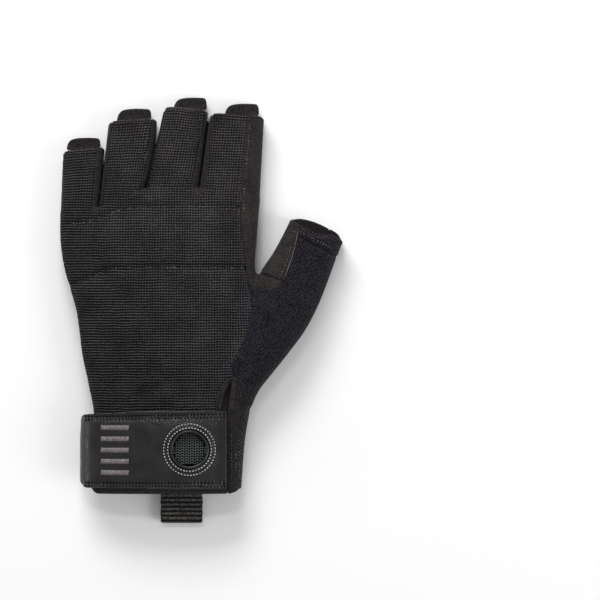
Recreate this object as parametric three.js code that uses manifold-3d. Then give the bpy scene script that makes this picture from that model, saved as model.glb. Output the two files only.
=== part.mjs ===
// Half-finger climbing glove for the left hand, lying on its palm with its back up.
// Millimetres, +Z up, +Y towards the fingertips, +X towards the thumb. The origin is on the resting plane,
// under the middle of the palm. The glove is hollow: tubes for the hand, four fingers and the thumb are joined,
// hollowed and cut along the sewn seams into the separate panels of cloth and leather.
import * as THREE from "three";
import { mergeVertices } from "three/addons/utils/BufferGeometryUtils.js";
import Module from "manifold-3d";

const wasm = await Module();
wasm.setup();

// Cloth and leather
const wall = 1.4; // back cloth, palm leather, towelling and cuff
const seamGap = 0.3; // between two panels at a sewn seam, and between layers
const seamHeight = 5.5; // height of the seam between palm leather and upper panels
const bindingRise = 0.8; // how far the vent's binding stands proud of the back
const hemRise = 0.6; // how far the thumb's turned hem stands proud

// Hand
const backLength = 152; // lower edge of the cuff to the crotch of ring and middle finger
const cuffEdge = -81.5; // where the lower edge of the cuff lies, from the middle of the palm
const palmThickness = 22;
const palmWidth = 99.5; // across the roots of the four fingers
const wristWidth = 73;
const wristOffset = 4.2; // middle of the wrist from the middle of the palm, towards the thumb
const rootThickness = 15.5; // height of the hand where the fingers begin
const sink = 2.5; // depth of a section's round underside that is pressed flat by resting

// Fingers, from the little finger to the index. width, across the root, and tipWidth are shares of palmWidth;
// length, lean, which is how far the tip stands towards the thumb, and belly, which is added to the thumb side at
// half length, are shares of fingerLength; thickness is a share of fingerThickness, and crotch, where the gap to
// the next finger ends, of backLength. The strips are the side leather seen from above, at the root and the tip,
// and tabLeft and tabRight are how far the pull tab stands back from the finger's edges: shares of its width.
const fingerLength = 40;
const fingerThickness = 14.5;
const fingerTable = [
  { name: "pinky", width: 0.192, tipWidth: 0.211, length: 0.768, thickness: 0.93, crotch: 0.9375,
    lean: 0.0525, belly: 0, tipSlope: 0.1, tabLeft: 0.1, tabRight: 0.115,
    leftRoot: 0, leftTip: 0, rightRoot: 0.173, rightTip: 0.178 },
  { name: "ring", width: 0.236, tipWidth: 0.246, length: 0.98, thickness: 0.966, crotch: 1,
    lean: 0.13, belly: 0.03, tipSlope: 0.06, tabLeft: 0.175, tabRight: 0.132,
    leftRoot: 0.038, leftTip: 0.081, rightRoot: 0.102, rightTip: 0.128 },
  { name: "middle", width: 0.268, tipWidth: 0.225, length: 1.005, thickness: 1, crotch: 1,
    lean: 0.1725, belly: 0, tipSlope: -0.09, tabLeft: 0.176, tabRight: 0.0375,
    leftRoot: 0.034, leftTip: 0.0225, rightRoot: 0.154, rightTip: 0.041 },
  { name: "index", width: 0.304, tipWidth: 0.273, length: 0.985, thickness: 1, crotch: 0.97,
    lean: 0.095, belly: 0, tipSlope: -0.06, tabLeft: 0.245, tabRight: 0.086,
    leftRoot: 0.106, leftTip: 0.043, rightRoot: 0.304, rightTip: 0.2645 },
];
const outerCrotch = 0.921; // where the little finger begins on its outer side, as a share of backLength
const rootDepth = 14; // how far a finger's tube runs on inside the hand
const rootInset = 1; // how much narrower it is there on each side
const fingerGap = 0.5; // between the tubes of two fingers

// Thumb
const thumbWidth = 28.3;
const thumbReach = 90; // tip to heel
const thumbThickness = 16;
const thumbAngle = 28; // degrees from the fingers' direction
const thumbCrotch = 0.746; // height of the thumb's crotch, as a share of the index side's length
const thumbCrotchAlong = 0.345; // the crotch's place on the thumb, as a share of thumbReach from the tip
const thumbLean = 1.6; // how far the mouth's upper edge is set back, and its lower edge forward
const hemWidth = 7;

// Pull tabs on the fingertips
const tabThickness = 1.2;
const tabReach = 5.2; // beyond the finger's end
const tabRoot = 4; // inside the finger
const tabInset = 3.4; // clear of the finger's sides, where it is inside
const tabShoulder = 3.2; // rounding of the tab's outer corner

// Cuff
const cuffHeight = 36.5; // elastic band on the palm side
const cuffSetBack = 7.5; // palm-side edge behind the back's edge
const cuffBaseTop = 38.3; // loop cloth under the strap, from the cuff's lower edge

// Closure strap
const strapThickness = 2.2;
const strapBulge = 3.5; // how far its free end swings out past the wrist
const strapEnd = 0.41; // where it meets the vent's band, as a share of wristWidth from the wrist's middle
const strapBottom = 1.8; // its lower edge from the cuff's lower edge
const strapTop = 42.4; // its upper edge at the thumb side
const strapTopLeft = 40.6; // its upper edge at the free end
const strapCorner = 4;
const strapEndHeight = 8.5; // how low its free end hangs over the wrist's side

// Stitched eyelet through the strap
const eyeletRadius = 7.9;
const eyeletRim = 1.7; // width of the rolled rim
const eyeletRise = 0.6; // rim above the strap
const eyeletFromEnd = 19.1; // centre from the strap's thumb end
const meshThickness = 0.5;

// Wrist vent on the thumb side
const ventWidth = 15;
const ventHeight = 15.4; // above the strap
const ventBand = 4.6; // width of the stitched band beside the strap

// Palm patch between thumb and index finger
const patchThickness = 1;
const patchWidth = 32;
const patchHeight = 34;
const patchInset = 4; // its straight edge from the crotch, towards the palm
const patchDrop = 3; // its lower corner below the crotch

// Webbing pull loop, and two tape loops
const webbingWidth = 21;
const webbingThickness = 1.5;
const webbingFold = 5; // outer height of the folded loop
const loopReach = 23; // beyond the palm-side edge of the cuff
const loopOffset = 10.6; // its middle from the middle of the palm
const loopTuck = 7; // upper layer inside the cuff
const tapeThickness = 0.8;
const tapeFold = 2.6;
const tapeReach = 6.5;
const tapeRoot = 6;
// The tape loops' middle, from the wrist's middle, and width are shares of wristWidth.
const tapes = [
  { side: "pinky", middle: -0.2945, width: 0.185 },
  { side: "thumb", middle: 0.323, width: 0.126 },
];

const handSides = 32;
const fingerSides = 20;
const thumbSides = 24;
const roundness = 2.6; // exponent of a section's outline: 2 is an ellipse, more is squarer

const fingers = fingerTable.map((row) => {
  const width = row.width * palmWidth;
  return {
    width,
    tipWidth: row.tipWidth * palmWidth,
    length: row.length * fingerLength,
    lean: row.lean * fingerLength,
    belly: row.belly * fingerLength,
    thickness: row.thickness * fingerThickness,
    name: row.name,
    crotch: row.crotch,
    tipSlope: row.tipSlope,
    tabLeft: row.tabLeft * width,
    tabRight: row.tabRight * width,
    leftRoot: row.leftRoot * width,
    leftTip: row.leftTip * width,
    rightRoot: row.rightRoot * width,
    rightTip: row.rightTip * width,
  };
});
const above = 60; // clear of everything, for cutting tools
const tiny = 0.05;

// Sections of the hand from the cuff (0) to the finger roots (1). left and right are shares of the width that
// the row follows, from the middle of the palm or wrist; top is a share of palmThickness.
const handTable = [
  { at: 0, follows: "wrist", left: -0.5, right: 0.497, top: 0.86 },
  { at: 0.08, follows: "wrist", left: -0.503, right: 0.508, top: 0.87 },
  { at: 0.185, follows: "wrist", left: -0.51, right: 0.526, top: 0.885 },
  { at: 0.29, follows: "wrist", left: -0.512, right: 0.56, top: 0.89 },
  { at: 0.37, follows: "palm", left: -0.356, right: 0.462, top: 0.91 },
  { at: 0.48, follows: "palm", left: -0.387, right: 0.472, top: 0.955 },
  { at: 0.57, follows: "palm", left: -0.405, right: 0.475, top: 0.99 },
  { at: 0.66, follows: "palm", left: -0.424, right: 0.475, top: 1 },
  { at: 0.73, follows: "palm", left: -0.452, right: 0.475, top: 0.975 },
  { at: 0.79, follows: "palm", left: -0.477, right: 0.477, top: 0.89 },
  { at: 0.845, follows: "palm", left: -0.491, right: 0.484, top: 0.94 },
  { at: 0.9, follows: "palm", left: -0.499, right: 0.49, top: 0.9 },
  { at: 0.95, follows: "palm", left: -0.502, right: 0.495, top: 0.785 },
  { at: 1, follows: "palm", left: -0.5, right: 0.5, top: null }, // as high as rootThickness
];

// Sections of the thumb from its mouth (0) to its heel (1), as shares of thumbWidth and thumbThickness.
const thumbTable = [
  { at: 0, left: -0.5, right: 0.497, top: 0.97 },
  { at: 0.09, left: -0.49, right: 0.54, top: 1 },
  { at: 0.22, left: -0.497, right: 0.6, top: 1.06 },
  { at: thumbCrotchAlong, left: -0.54, right: 0.645, top: 1.14 },
  { at: 0.52, left: -0.53, right: 0.65, top: 1.22 },
  { at: 0.66, left: -0.5, right: 0.58, top: 1.25 },
  { at: 0.8, left: -0.44, right: 0.49, top: 1.22 },
  { at: 0.9, left: -0.4, right: 0.43, top: 1.14 },
  { at: 1, left: -0.36, right: 0.4, top: 1 },
];

// Seam between the back cloth and its neighbours on the thumb side, from the vent's apex to the index finger.
// across is a share of palmWidth, up a share of backLength.
const backSeam = [
  { across: 0.361, up: 0.424 },
  { across: 0.389, up: 0.449 },
  { across: 0.427, up: 0.513 },
  { across: 0.457, up: 0.576 },
  { across: 0.46, up: 0.638 },
  { across: 0.446, up: 0.6875 },
  { across: 0.43, up: 0.768 },
  { across: 0.417, up: 0.822 },
  { across: 0.408, up: 0.885 },
];

// Upper outline of the thumb's leather, in the thumb's own frame, as shares of thumbWidth and thumbReach.
const thumbLeather = [
  { across: -0.52, along: -0.342 },
  { across: -0.117, along: -0.321 },
  { across: -0.122, along: -0.259 },
  { across: -0.177, along: -0.156 },
  { across: -0.315, along: -0.003 },
  { across: -0.4, along: 0.08 },
  { across: -0.8, along: 0.08 },
  { across: -0.62, along: -0.28 },
];
// End of the index finger's side leather beyond the thumb's crotch, in the same frame.
const crotchEnd = [
  { across: -0.117, along: -0.321 },
  { across: -0.205, along: -0.4 },
];
// The same leather's two corners at the crotch, from the crotch, as shares of palmWidth and backLength.
const crotchCorners = {
  finger: { across: 0.012, up: 0.04 },
  hand: { across: -0.02, up: -0.047 },
};
// Edge of the towelling under the thumb, in the same frame, from the mouth to the cuff.
const underEdge = [
  { across: 0.18, along: 0.08 },
  { across: 0.28, along: -0.21 },
  { across: 0.335, along: -0.367 },
  { across: 0.32, along: -0.52 },
  { across: 0.18, along: -0.645 },
  { across: -0.035, along: -0.755 },
  { across: -0.283, along: -0.867 },
  { across: -0.5, along: -1 },
  { across: -0.385, along: -1.2 },
  { across: 1.3, along: -1.3 },
  { across: 1.3, along: 0.1 },
];

// The vent's binding and gusset, from the strap's upper thumb corner, as shares of ventWidth and ventHeight.
const ventLeftBinding = [
  { across: -0.393, up: 0.04 },
  { across: -0.313, up: 0.455 },
  { across: -0.147, up: 0.78 },
  { across: 0.12, up: 1 },
  { across: 0.12, up: 0.84 },
  { across: -0.02, up: 0.7 },
  { across: -0.14, up: 0.4 },
  { across: -0.22, up: 0.04 },
];
const ventRightEdge = [
  { across: 0.14, up: 0.68 },
  { across: 0.14, up: 1 },
  { across: 0.387, up: 0.922 },
  { across: 0.54, up: 0.695 },
  { across: 0.6, up: 0.26 },
  { across: 0.553, up: -0.1 },
];
const ventGusset = [
  { across: 0.12, up: 0.82 },
  { across: 0, up: 0.69 },
  { across: -0.12, up: 0.4 },
  { across: -0.2, up: 0.04 },
  { across: 0, up: 0.04 },
  { across: 0.07, up: 0.35 },
  { across: 0.12, up: 0.66 },
];

// Outline of the palm patch from its corner at the thumb's crotch, as shares of patchWidth and patchHeight.
const patchOutline = [
  { across: -0.04, up: 0 },
  { across: -0.16, up: -0.02 },
  { across: -0.5, up: 0.05 },
  { across: -0.8, up: 0.14 },
  { across: -0.97, up: 0.28 },
  { across: -1, up: 0.42 },
  { across: -0.9, up: 0.56 },
  { across: -0.62, up: 0.7 },
  { across: -0.3, up: 0.85 },
  { across: -0.04, up: 1 },
];

const blend = (a, b, t) => a + (b - a) * t;

// A closed geometry as a solid.
function solid(geometry) {
  geometry.deleteAttribute("normal");
  geometry.deleteAttribute("uv");
  const merged = mergeVertices(geometry, 1e-5);
  const vertProperties = merged.attributes.position.array;
  const triVerts = new Uint32Array(merged.index.array);
  return new wasm.Manifold(new wasm.Mesh({ numProp: 3, vertProperties, triVerts }));
}

// A solid standing on an outline of [x, y] points.
function prism(points, low, high) {
  const shape = new THREE.Shape(points.map(([x, y]) => new THREE.Vector2(x, y)));
  const geometry = new THREE.ExtrudeGeometry(shape, { depth: high - low, bevelEnabled: false });
  return solid(geometry.translate(0, 0, low));
}

function slab(low, high) {
  const geometry = new THREE.BoxGeometry(4 * backLength, 4 * backLength, high - low);
  return solid(geometry.translate(0, 0, (low + high) / 2));
}

// An outline moved outwards by a distance, or inwards if it is negative.
function grow(points, distance) {
  const turn = Math.sign(THREE.ShapeUtils.area(points.map(([x, y]) => new THREE.Vector2(x, y))));
  return points.map((point, i) => {
    const before = points[(i + points.length - 1) % points.length];
    const after = points[(i + 1) % points.length];
    const one = unit(point[0] - before[0], point[1] - before[1]);
    const two = unit(after[0] - point[0], after[1] - point[1]);
    const across = unit(one[1] + two[1], -one[0] - two[0]);
    const miter = Math.max(0.5, across[0] * one[1] - across[1] * one[0]);
    const step = (turn * distance) / miter;
    return [point[0] + across[0] * step, point[1] + across[1] * step];
  });
}

function unit(x, y) {
  const length = Math.hypot(x, y) || 1;
  return [x / length, y / length];
}

function union(solids) {
  return solids.reduce((sum, s) => sum.add(s));
}

// The biggest body of a solid, without the slivers that a cut along a wall can leave.
function mainBody(cut) {
  return cut.decompose().reduce((best, body) => (body.volume() > best.volume() ? body : best));
}

// A tube through sections. Each has left, right, bottom and top, and place(x, across, z, lift), which puts a point
// of its outline into the frame; inset moves the outline inwards.
function tube(sections, sides, inset) {
  const positions = [];
  const index = [];
  const mouths = [];
  for (const section of sections) {
    const middle = (section.left + section.right) / 2;
    const half = (section.right - section.left) / 2 - inset;
    const centre = (section.bottom + section.top) / 2;
    const rise = (section.top - section.bottom) / 2 - inset;
    for (let i = 0; i < sides; i++) {
      const angle = (2 * Math.PI * i) / sides;
      const across = squared(Math.cos(angle));
      const lift = squared(Math.sin(angle));
      const z = Math.max(centre + rise * lift, inset);
      positions.push(...section.place(middle + half * across, z, lift));
    }
    mouths.push(section.place(middle, Math.max(centre, inset), 0));
  }
  const last = sections.length - 1;
  for (let row = 0; row < last; row++) {
    for (let i = 0; i < sides; i++) {
      const a = row * sides + i;
      const b = row * sides + ((i + 1) % sides);
      index.push(a, a + sides, b, b, a + sides, b + sides);
    }
  }
  const start = sections.length * sides;
  positions.push(...mouths[0], ...mouths[last]);
  for (let i = 0; i < sides; i++) {
    const next = (i + 1) % sides;
    index.push(start, i, next, start + 1, last * sides + next, last * sides + i);
  }
  const geometry = new THREE.BufferGeometry();
  geometry.setAttribute("position", new THREE.Float32BufferAttribute(positions, 3));
  geometry.setIndex(index);
  return solid(geometry);
}

function squared(value) {
  return Math.sign(value) * Math.abs(value) ** (2 / roundness);
}

// Finger roots: the x of each boundary between fingers, and the y where the gap there ends.
const rootX = [-palmWidth / 2];
for (const finger of fingers) rootX.push(rootX.at(-1) + finger.width);
const rootY = [outerCrotch, ...fingers.map((f) => f.crotch)].map((share) => cuffEdge + share * backLength);

function rootLine(x) {
  let i = 0;
  while (i < rootX.length - 2 && x > rootX[i + 1]) i++;
  const t = THREE.MathUtils.clamp((x - rootX[i]) / (rootX[i + 1] - rootX[i]), 0, 1);
  return blend(rootY[i], rootY[i + 1], t);
}

// The left or right edge of a finger at a share of its length; shares below 0 are inside the hand.
function fingerEdge(i, side, share) {
  const finger = fingers[i];
  const root = rootX[i] + finger.width / 2;
  const middle = root + finger.lean * Math.max(share, 0);
  const bulge = side > 0 && share > 0 ? 4 * finger.belly * share * Math.max(1 - share, 0) : 0;
  return middle + (side * blend(finger.width, finger.tipWidth, Math.max(share, 0))) / 2 + bulge;
}

function fingerY(i, share, x) {
  const finger = fingers[i];
  const middle = rootX[i] + finger.width / 2;
  const tip = rootLine(middle) + finger.length + finger.tipSlope * (x - middle - finger.lean);
  return share < 0 ? rootLine(x) + share * finger.length : blend(rootLine(x), tip, share);
}

function fingerTube(i, inset, extra) {
  const finger = fingers[i];
  const depth = -rootDepth / finger.length;
  const shares = [depth, 0, 0.33, 0.66, 1 + extra / finger.length];
  const sections = shares.map((share) => {
    const low = share < 0;
    const outer = (side) => i === (side < 0 ? 0 : fingers.length - 1);
    const clear = (side) => (outer(side) ? 0 : fingerGap / 2) + (low ? rootInset : 0);
    return {
      left: fingerEdge(i, -1, share) + clear(-1),
      right: fingerEdge(i, 1, share) - clear(1),
      bottom: -sink,
      top: blend(rootThickness, finger.thickness, Math.max(share, 0)),
      place: (x, z) => [x, fingerY(i, share, x), z],
    };
  });
  return tube(sections, fingerSides, inset);
}

// The hand's tube. bulge swings its left side out, for the strap's free end.
function handTube(inset, startExtra, endExtra, bulge = 0) {
  const rows = handTable.map((row) => {
    const wrist = row.follows === "wrist";
    const width = wrist ? wristWidth : palmWidth;
    const middle = wrist ? wristOffset : 0;
    return {
      left: middle + row.left * width - bulge,
      right: middle + row.right * width,
      bottom: -sink,
      top: row.top === null ? rootThickness : row.top * palmThickness,
      place: (x, z) => {
        const first = row.at === 0 ? startExtra : 0;
        const end = row.at === 1 ? endExtra : 0;
        return [x, blend(cuffEdge, rootLine(x), row.at) - first + end, z];
      },
    };
  });
  return tube(rows, handSides, inset);
}

// The thumb's frame: its origin is the middle of the mouth.
const turn = THREE.MathUtils.degToRad(thumbAngle);
const alongThumb = [Math.sin(turn), Math.cos(turn)];
const acrossThumb = [Math.cos(turn), -Math.sin(turn)];
const crotchRow = thumbTable.find((row) => row.at === thumbCrotchAlong);
const crotchPoint = [palmWidth / 2, blend(cuffEdge, rootY.at(-1), thumbCrotch)];
const thumbOrigin = [0, 1].map((k) =>
  crotchPoint[k] - crotchRow.left * thumbWidth * acrossThumb[k] + thumbCrotchAlong * thumbReach * alongThumb[k]);

function onThumb(across, along) {
  return [0, 1].map((k) => thumbOrigin[k] + across * acrossThumb[k] + along * alongThumb[k]);
}

function thumbOutline(table) {
  return table.map(({ across, along }) => onThumb(across * thumbWidth, along * thumbReach));
}

function thumbTube(inset, extra) {
  const sections = thumbTable.map((row) => ({
    left: row.left * thumbWidth,
    right: row.right * thumbWidth,
    bottom: -sink,
    top: row.top * thumbThickness,
    place: (x, z, lift) => {
      const mouth = row.at === 0 ? extra - thumbLean * lift : 0;
      return [...onThumb(x, mouth - row.at * thumbReach), z];
    },
  }));
  return tube(sections.reverse(), thumbSides, inset);
}

// Everything inside a surface that lies inset within the glove's outer surface.
function body(inset, mouths) {
  const hand = handTube(inset, mouths, inset > 0 ? -inset : 0);
  const tubes = fingers.map((_, i) => fingerTube(i, inset, mouths));
  return union([hand, thumbTube(inset, mouths), ...tubes]);
}

const mouthCut = 3;
const inside = body(wall, mouthCut);
const outside = body(0, 0);
const shell = outside.subtract(inside);
const upperStart = seamHeight + seamGap / 2;
const lowerEnd = seamHeight - seamGap / 2;

// Points of the frame from shares of the hand, the crotch and the vent.
const cuffBottom = cuffEdge + cuffSetBack; // the palm side's edge
const onHand = ({ across, up }) => [across * palmWidth, cuffEdge + up * backLength];
const onCrotch = ({ across, up }) => [crotchPoint[0] + across * palmWidth, crotchPoint[1] + up * backLength];
const strapRight = wristOffset + wristWidth * strapEnd;
const strapTopY = cuffEdge + strapTop;
const onVent = ({ across, up }) => [strapRight + across * ventWidth, strapTopY + up * ventHeight];

// The slot in the back cloth between two fingers, where their side leather shows. clear makes it narrower.
function fingerSlot(i, clear) {
  const shares = [1.3, 0.66, 0.33, 0];
  const strip = (k, root, tip, share) => blend(fingers[k][root], fingers[k][tip], share) - clear;
  const left = shares.map((s) => {
    const x = fingerEdge(i, 1, s) - strip(i, "rightRoot", "rightTip", s);
    return [x, fingerY(i, s, x)];
  });
  const right = shares.map((s) => {
    const x = fingerEdge(i + 1, -1, s) + strip(i + 1, "leftRoot", "leftTip", s);
    return [x, fingerY(i + 1, s, x)];
  });
  const [from, to] = [left.at(-1), right.at(-1)];
  const radius = (to[0] - from[0]) / 2;
  const toe = [];
  for (let step = 1; step < 6; step++) {
    const angle = Math.PI + (Math.PI * step) / 6;
    toe.push([from[0] + radius * (1 + Math.cos(angle)), rootY[i + 1] + radius * Math.sin(angle)]);
  }
  left.at(-1)[1] = right.at(-1)[1] = rootY[i + 1];
  return [...left, ...toe, ...right.reverse()];
}

// The right edge of the back cloth on the index finger.
const indexSeam = [0, 0.33, 0.66, 1.3].map((share) => {
  const x = fingerEdge(3, 1, share) - blend(fingers[3].rightRoot, fingers[3].rightTip, share);
  return [x, fingerY(3, share, x)];
});
const seamLine = [...backSeam.map(onHand), ...indexSeam];

const outlines = {
  back: [
    [-palmWidth, cuffEdge + cuffBaseTop],
    [onVent(ventLeftBinding[0])[0], cuffEdge + cuffBaseTop],
    ...ventLeftBinding.slice(0, 4).map(onVent),
    ...seamLine,
    [seamLine.at(-1)[0], backLength],
    [-palmWidth, backLength],
  ],
  indexSide: [
    ...seamLine.slice(5),
    [palmWidth * 0.6, seamLine.at(-1)[1]],
    onCrotch(crotchCorners.finger),
    ...thumbOutline([thumbLeather[0]]),
    ...thumbOutline(crotchEnd),
    onCrotch(crotchCorners.hand),
  ],
  thumbLeather: thumbOutline(thumbLeather),
  under: thumbOutline(underEdge),
  cuffBase: [
    [-palmWidth, 2 * cuffEdge],
    [strapRight, 2 * cuffEdge],
    [strapRight, cuffEdge + cuffBaseTop - seamGap],
    [-palmWidth, cuffEdge + cuffBaseTop - seamGap],
  ],
  elastic: [
    [-palmWidth, cuffBottom],
    [palmWidth, cuffBottom],
    [palmWidth, cuffBottom + cuffHeight],
    [-palmWidth, cuffBottom + cuffHeight],
  ],
  elasticSide: [
    [strapRight + ventBand + seamGap, cuffEdge + strapBottom * 0.35],
    [wristOffset + wristWidth / 2, cuffEdge + strapBottom],
    [palmWidth, cuffEdge + strapBottom],
    [palmWidth, cuffBottom + cuffHeight],
    [strapRight + ventBand + seamGap, cuffBottom + cuffHeight],
  ],
  leftBinding: ventLeftBinding.map(onVent),
  rightBinding: [
    [strapRight + seamGap, 2 * cuffEdge],
    [strapRight + ventBand, 2 * cuffEdge],
    [strapRight + ventBand, cuffEdge + strapTop * 0.6],
    ...ventRightEdge.slice(1).reverse().map(onVent),
    onVent(ventRightEdge[0]),
    [strapRight + seamGap, strapTopY],
  ],
  gusset: ventGusset.map(onVent),
};

// Cuts the piece that stands on an outline out of what is left of the shell, with a seam round it.
const rest = {
  upper: shell.intersect(slab(upperStart, above)),
  lower: shell.intersect(slab(-above, lowerEnd)),
};
function cutOut(half, outline) {
  const piece = rest[half].intersect(prism(outline, -above, above));
  rest[half] = rest[half].subtract(prism(grow(outline, seamGap), -above, above));
  return piece;
}

const sides = [0, 1, 2].map((i) => {
  const piece = rest.upper.intersect(prism(fingerSlot(i, seamGap), -above, above));
  rest.upper = rest.upper.subtract(prism(fingerSlot(i, 0), -above, above));
  return mainBody(piece);
});
const layer = (from, to) => body(-to, 0).subtract(body(-from, mouthCut));
const raised = layer(-wall, bindingRise).intersect(slab(upperStart, above));
cutOut("upper", outlines.leftBinding);
cutOut("upper", outlines.rightBinding);
cutOut("upper", outlines.gusset);
const leftBinding = mainBody(raised.intersect(prism(outlines.leftBinding, -above, above)));
const rightBinding = mainBody(raised.intersect(prism(outlines.rightBinding, -above, above)));
const gussetArea = prism(grow(outlines.gusset, -seamGap), upperStart, above);
const gusset = mainBody(layer(-wall, -wall / 2).intersect(gussetArea));

const elasticSide = cutOut("upper", outlines.elasticSide);
const elasticUnder = cutOut("lower", outlines.elastic);
const joinBand = (outline) => shell.intersect(prism(outline, lowerEnd - tiny, upperStart + tiny));
const elasticJoin = joinBand(outlines.elasticSide).intersect(prism(outlines.elastic, -above, above));
const cuffBase = mainBody(cutOut("upper", outlines.cuffBase));
const back = mainBody(cutOut("upper", outlines.back));
const indexSide = mainBody(cutOut("upper", outlines.indexSide));
const thumbTop = cutOut("upper", outlines.thumbLeather);
const towelUnder = cutOut("lower", outlines.under);
const towelJoin = joinBand(outlines.under);
const aboveCuff = [
  [-palmWidth, cuffBottom + cuffHeight + seamGap],
  [2 * palmWidth, cuffBottom + cuffHeight + seamGap],
  [2 * palmWidth, backLength],
  [-palmWidth, backLength],
];
const offCuff = prism(aboveCuff, -above, above);
const towel = union([rest.upper, towelUnder, towelJoin]).intersect(offCuff);

// The thumb's turned hem, cut from the towelling and made a little thicker.
const hemOutline = [
  onThumb(-thumbWidth, -hemWidth),
  onThumb(thumbWidth, -hemWidth),
  onThumb(thumbWidth, hemWidth),
  onThumb(-thumbWidth, hemWidth),
];
const hemPuff = thumbTube(-hemRise, 0).subtract(thumbTube(wall, mouthCut));
const leatherMask = prism(grow(outlines.thumbLeather, seamGap), upperStart - seamGap, above);
const hemZone = union([prism(outlines.under, -above, upperStart), slab(upperStart - tiny, above)]);
const hemBand = hemPuff.intersect(prism(hemOutline, 0, above));
const hem = mainBody(hemBand.intersect(hemZone).subtract(leatherMask));
const thumbTowel = mainBody(towel.subtract(prism(grow(hemOutline, seamGap), -above, above)));

// A raised seat in a bottom panel, so that a layer sewn on below it lies level with the resting plane. The panel
// ends at its edge, an outline too.
function seat(panel, edge, outline, depth) {
  const recess = prism(grow(outline, seamGap), -above, depth + seamGap);
  const cover = prism(grow(outline, seamGap + wall), 0, depth + seamGap + wall);
  const within = outside.intersect(prism(edge, 0, above));
  return mainBody(panel.add(cover.intersect(within)).subtract(recess));
}

const patch = patchOutline.map(({ across, up }) => [
  crotchPoint[0] - patchInset + across * patchWidth,
  crotchPoint[1] - patchDrop + up * patchHeight,
]);
const palmPatch = prism(patch, 0, patchThickness);
const thumbJoin = joinBand(outlines.thumbLeather);
const offTowel = prism(grow(outlines.under, seamGap), -above, lowerEnd);
const palmSheet = union([rest.lower, thumbTop, thumbJoin]).intersect(offCuff).subtract(offTowel);
const palm = seat(palmSheet, aboveCuff, patch, patchThickness);

// The webbing on the cuff: down its outer side, round the fold and back inside.
const webbingTop = cuffBottom + cuffHeight - wall - 2 * seamGap;
const loopEnd = cuffBottom - loopReach;
function foldedStrip({ lower, upper, end, thickness, height, width, middle, base }) {
  const outer = height / 2;
  const inner = outer - thickness;
  const shape = new THREE.Shape();
  shape.moveTo(lower, 0);
  shape.lineTo(end + outer, 0);
  shape.absarc(end + outer, outer, outer, -Math.PI / 2, Math.PI / 2, true);
  shape.lineTo(upper, height);
  shape.lineTo(upper, height - thickness);
  shape.lineTo(end + outer, height - thickness);
  shape.absarc(end + outer, outer, inner, Math.PI / 2, -Math.PI / 2, false);
  shape.lineTo(lower, thickness);
  const geometry = new THREE.ExtrudeGeometry(shape, { depth: width, bevelEnabled: false, curveSegments: 6 });
  geometry.rotateX(Math.PI / 2).rotateZ(Math.PI / 2);
  return solid(geometry.translate(middle - width / 2, 0, base));
}
const pullLoop = foldedStrip({
  lower: webbingTop, upper: cuffBottom + loopTuck, end: loopEnd, thickness: webbingThickness,
  height: webbingFold, width: webbingWidth, middle: loopOffset, base: 0,
});
const webbingOutline = [-1, 1].flatMap((side) => {
  const x = loopOffset + (side * webbingWidth) / 2;
  const ends = [[x, webbingTop], [x, -backLength]];
  return side < 0 ? ends : ends.reverse();
});
const elasticSheet = union([elasticUnder, elasticSide, elasticJoin]);
const elastic = seat(elasticSheet, outlines.elastic, webbingOutline, webbingThickness);
const tapeLoops = tapes.map(({ middle, width }) => foldedStrip({
  lower: cuffBottom + tapeRoot, upper: cuffBottom + tapeRoot, end: cuffBottom - tapeReach,
  thickness: tapeThickness, height: tapeFold, width: width * wristWidth,
  middle: wristOffset + middle * wristWidth, base: wall + seamGap,
}));

// The closure strap: a band that follows the back of the wrist, with a free end that swings out.
const wristLeft = Math.min(...handTable.filter((row) => row.follows === "wrist").map((row) => row.left));
const strapLeft = wristOffset + wristLeft * wristWidth - strapBulge - strapThickness - seamGap;
function roundedEnd(x, low, high, radius) {
  const arc = (cx, cy, start) => [0, 1, 2, 3, 4].map((step) => {
    const angle = start + (Math.PI / 2) * (step / 4);
    return [cx + radius * Math.cos(angle), cy + radius * Math.sin(angle)];
  });
  return [...arc(x + radius, high - radius, Math.PI / 2), ...arc(x + radius, low + radius, Math.PI)];
}
const strapOutline = [
  ...roundedEnd(strapLeft, cuffEdge + strapBottom, cuffEdge + strapTopLeft, strapCorner),
  [strapRight, cuffEdge + strapBottom],
  [strapRight, strapTopY],
];
function wristBand(from, to, bulge) {
  return handTube(-to, mouthCut, 0, bulge).subtract(handTube(-from, 2 * mouthCut, 0, bulge));
}
const strapBand = wristBand(seamGap, seamGap + strapThickness, strapBulge);
const eyeletCentre = [strapRight - eyeletFromEnd, cuffEdge + (strapBottom + strapTop) / 2];
function disc(radius, low, high) {
  const geometry = new THREE.CylinderGeometry(radius, radius, high - low, 40);
  return solid(geometry.rotateX(Math.PI / 2).translate(...eyeletCentre, (low + high) / 2));
}
const rimRadius = eyeletRadius + eyeletRim;
const strap = mainBody(strapBand.intersect(prism(strapOutline, strapEndHeight, above))
  .subtract(disc(rimRadius + seamGap, 0, above)));
const meshBand = wristBand(seamGap, seamGap + meshThickness, 0);
const mesh = mainBody(meshBand.intersect(disc(rimRadius, seamHeight + wall, above)));
const rimBand = wristBand(2 * seamGap + meshThickness, seamGap + strapThickness + eyeletRise, 0);
const rim = mainBody(rimBand.intersect(disc(rimRadius, seamHeight + wall, above))
  .subtract(disc(eyeletRadius, 0, above)));

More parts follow.
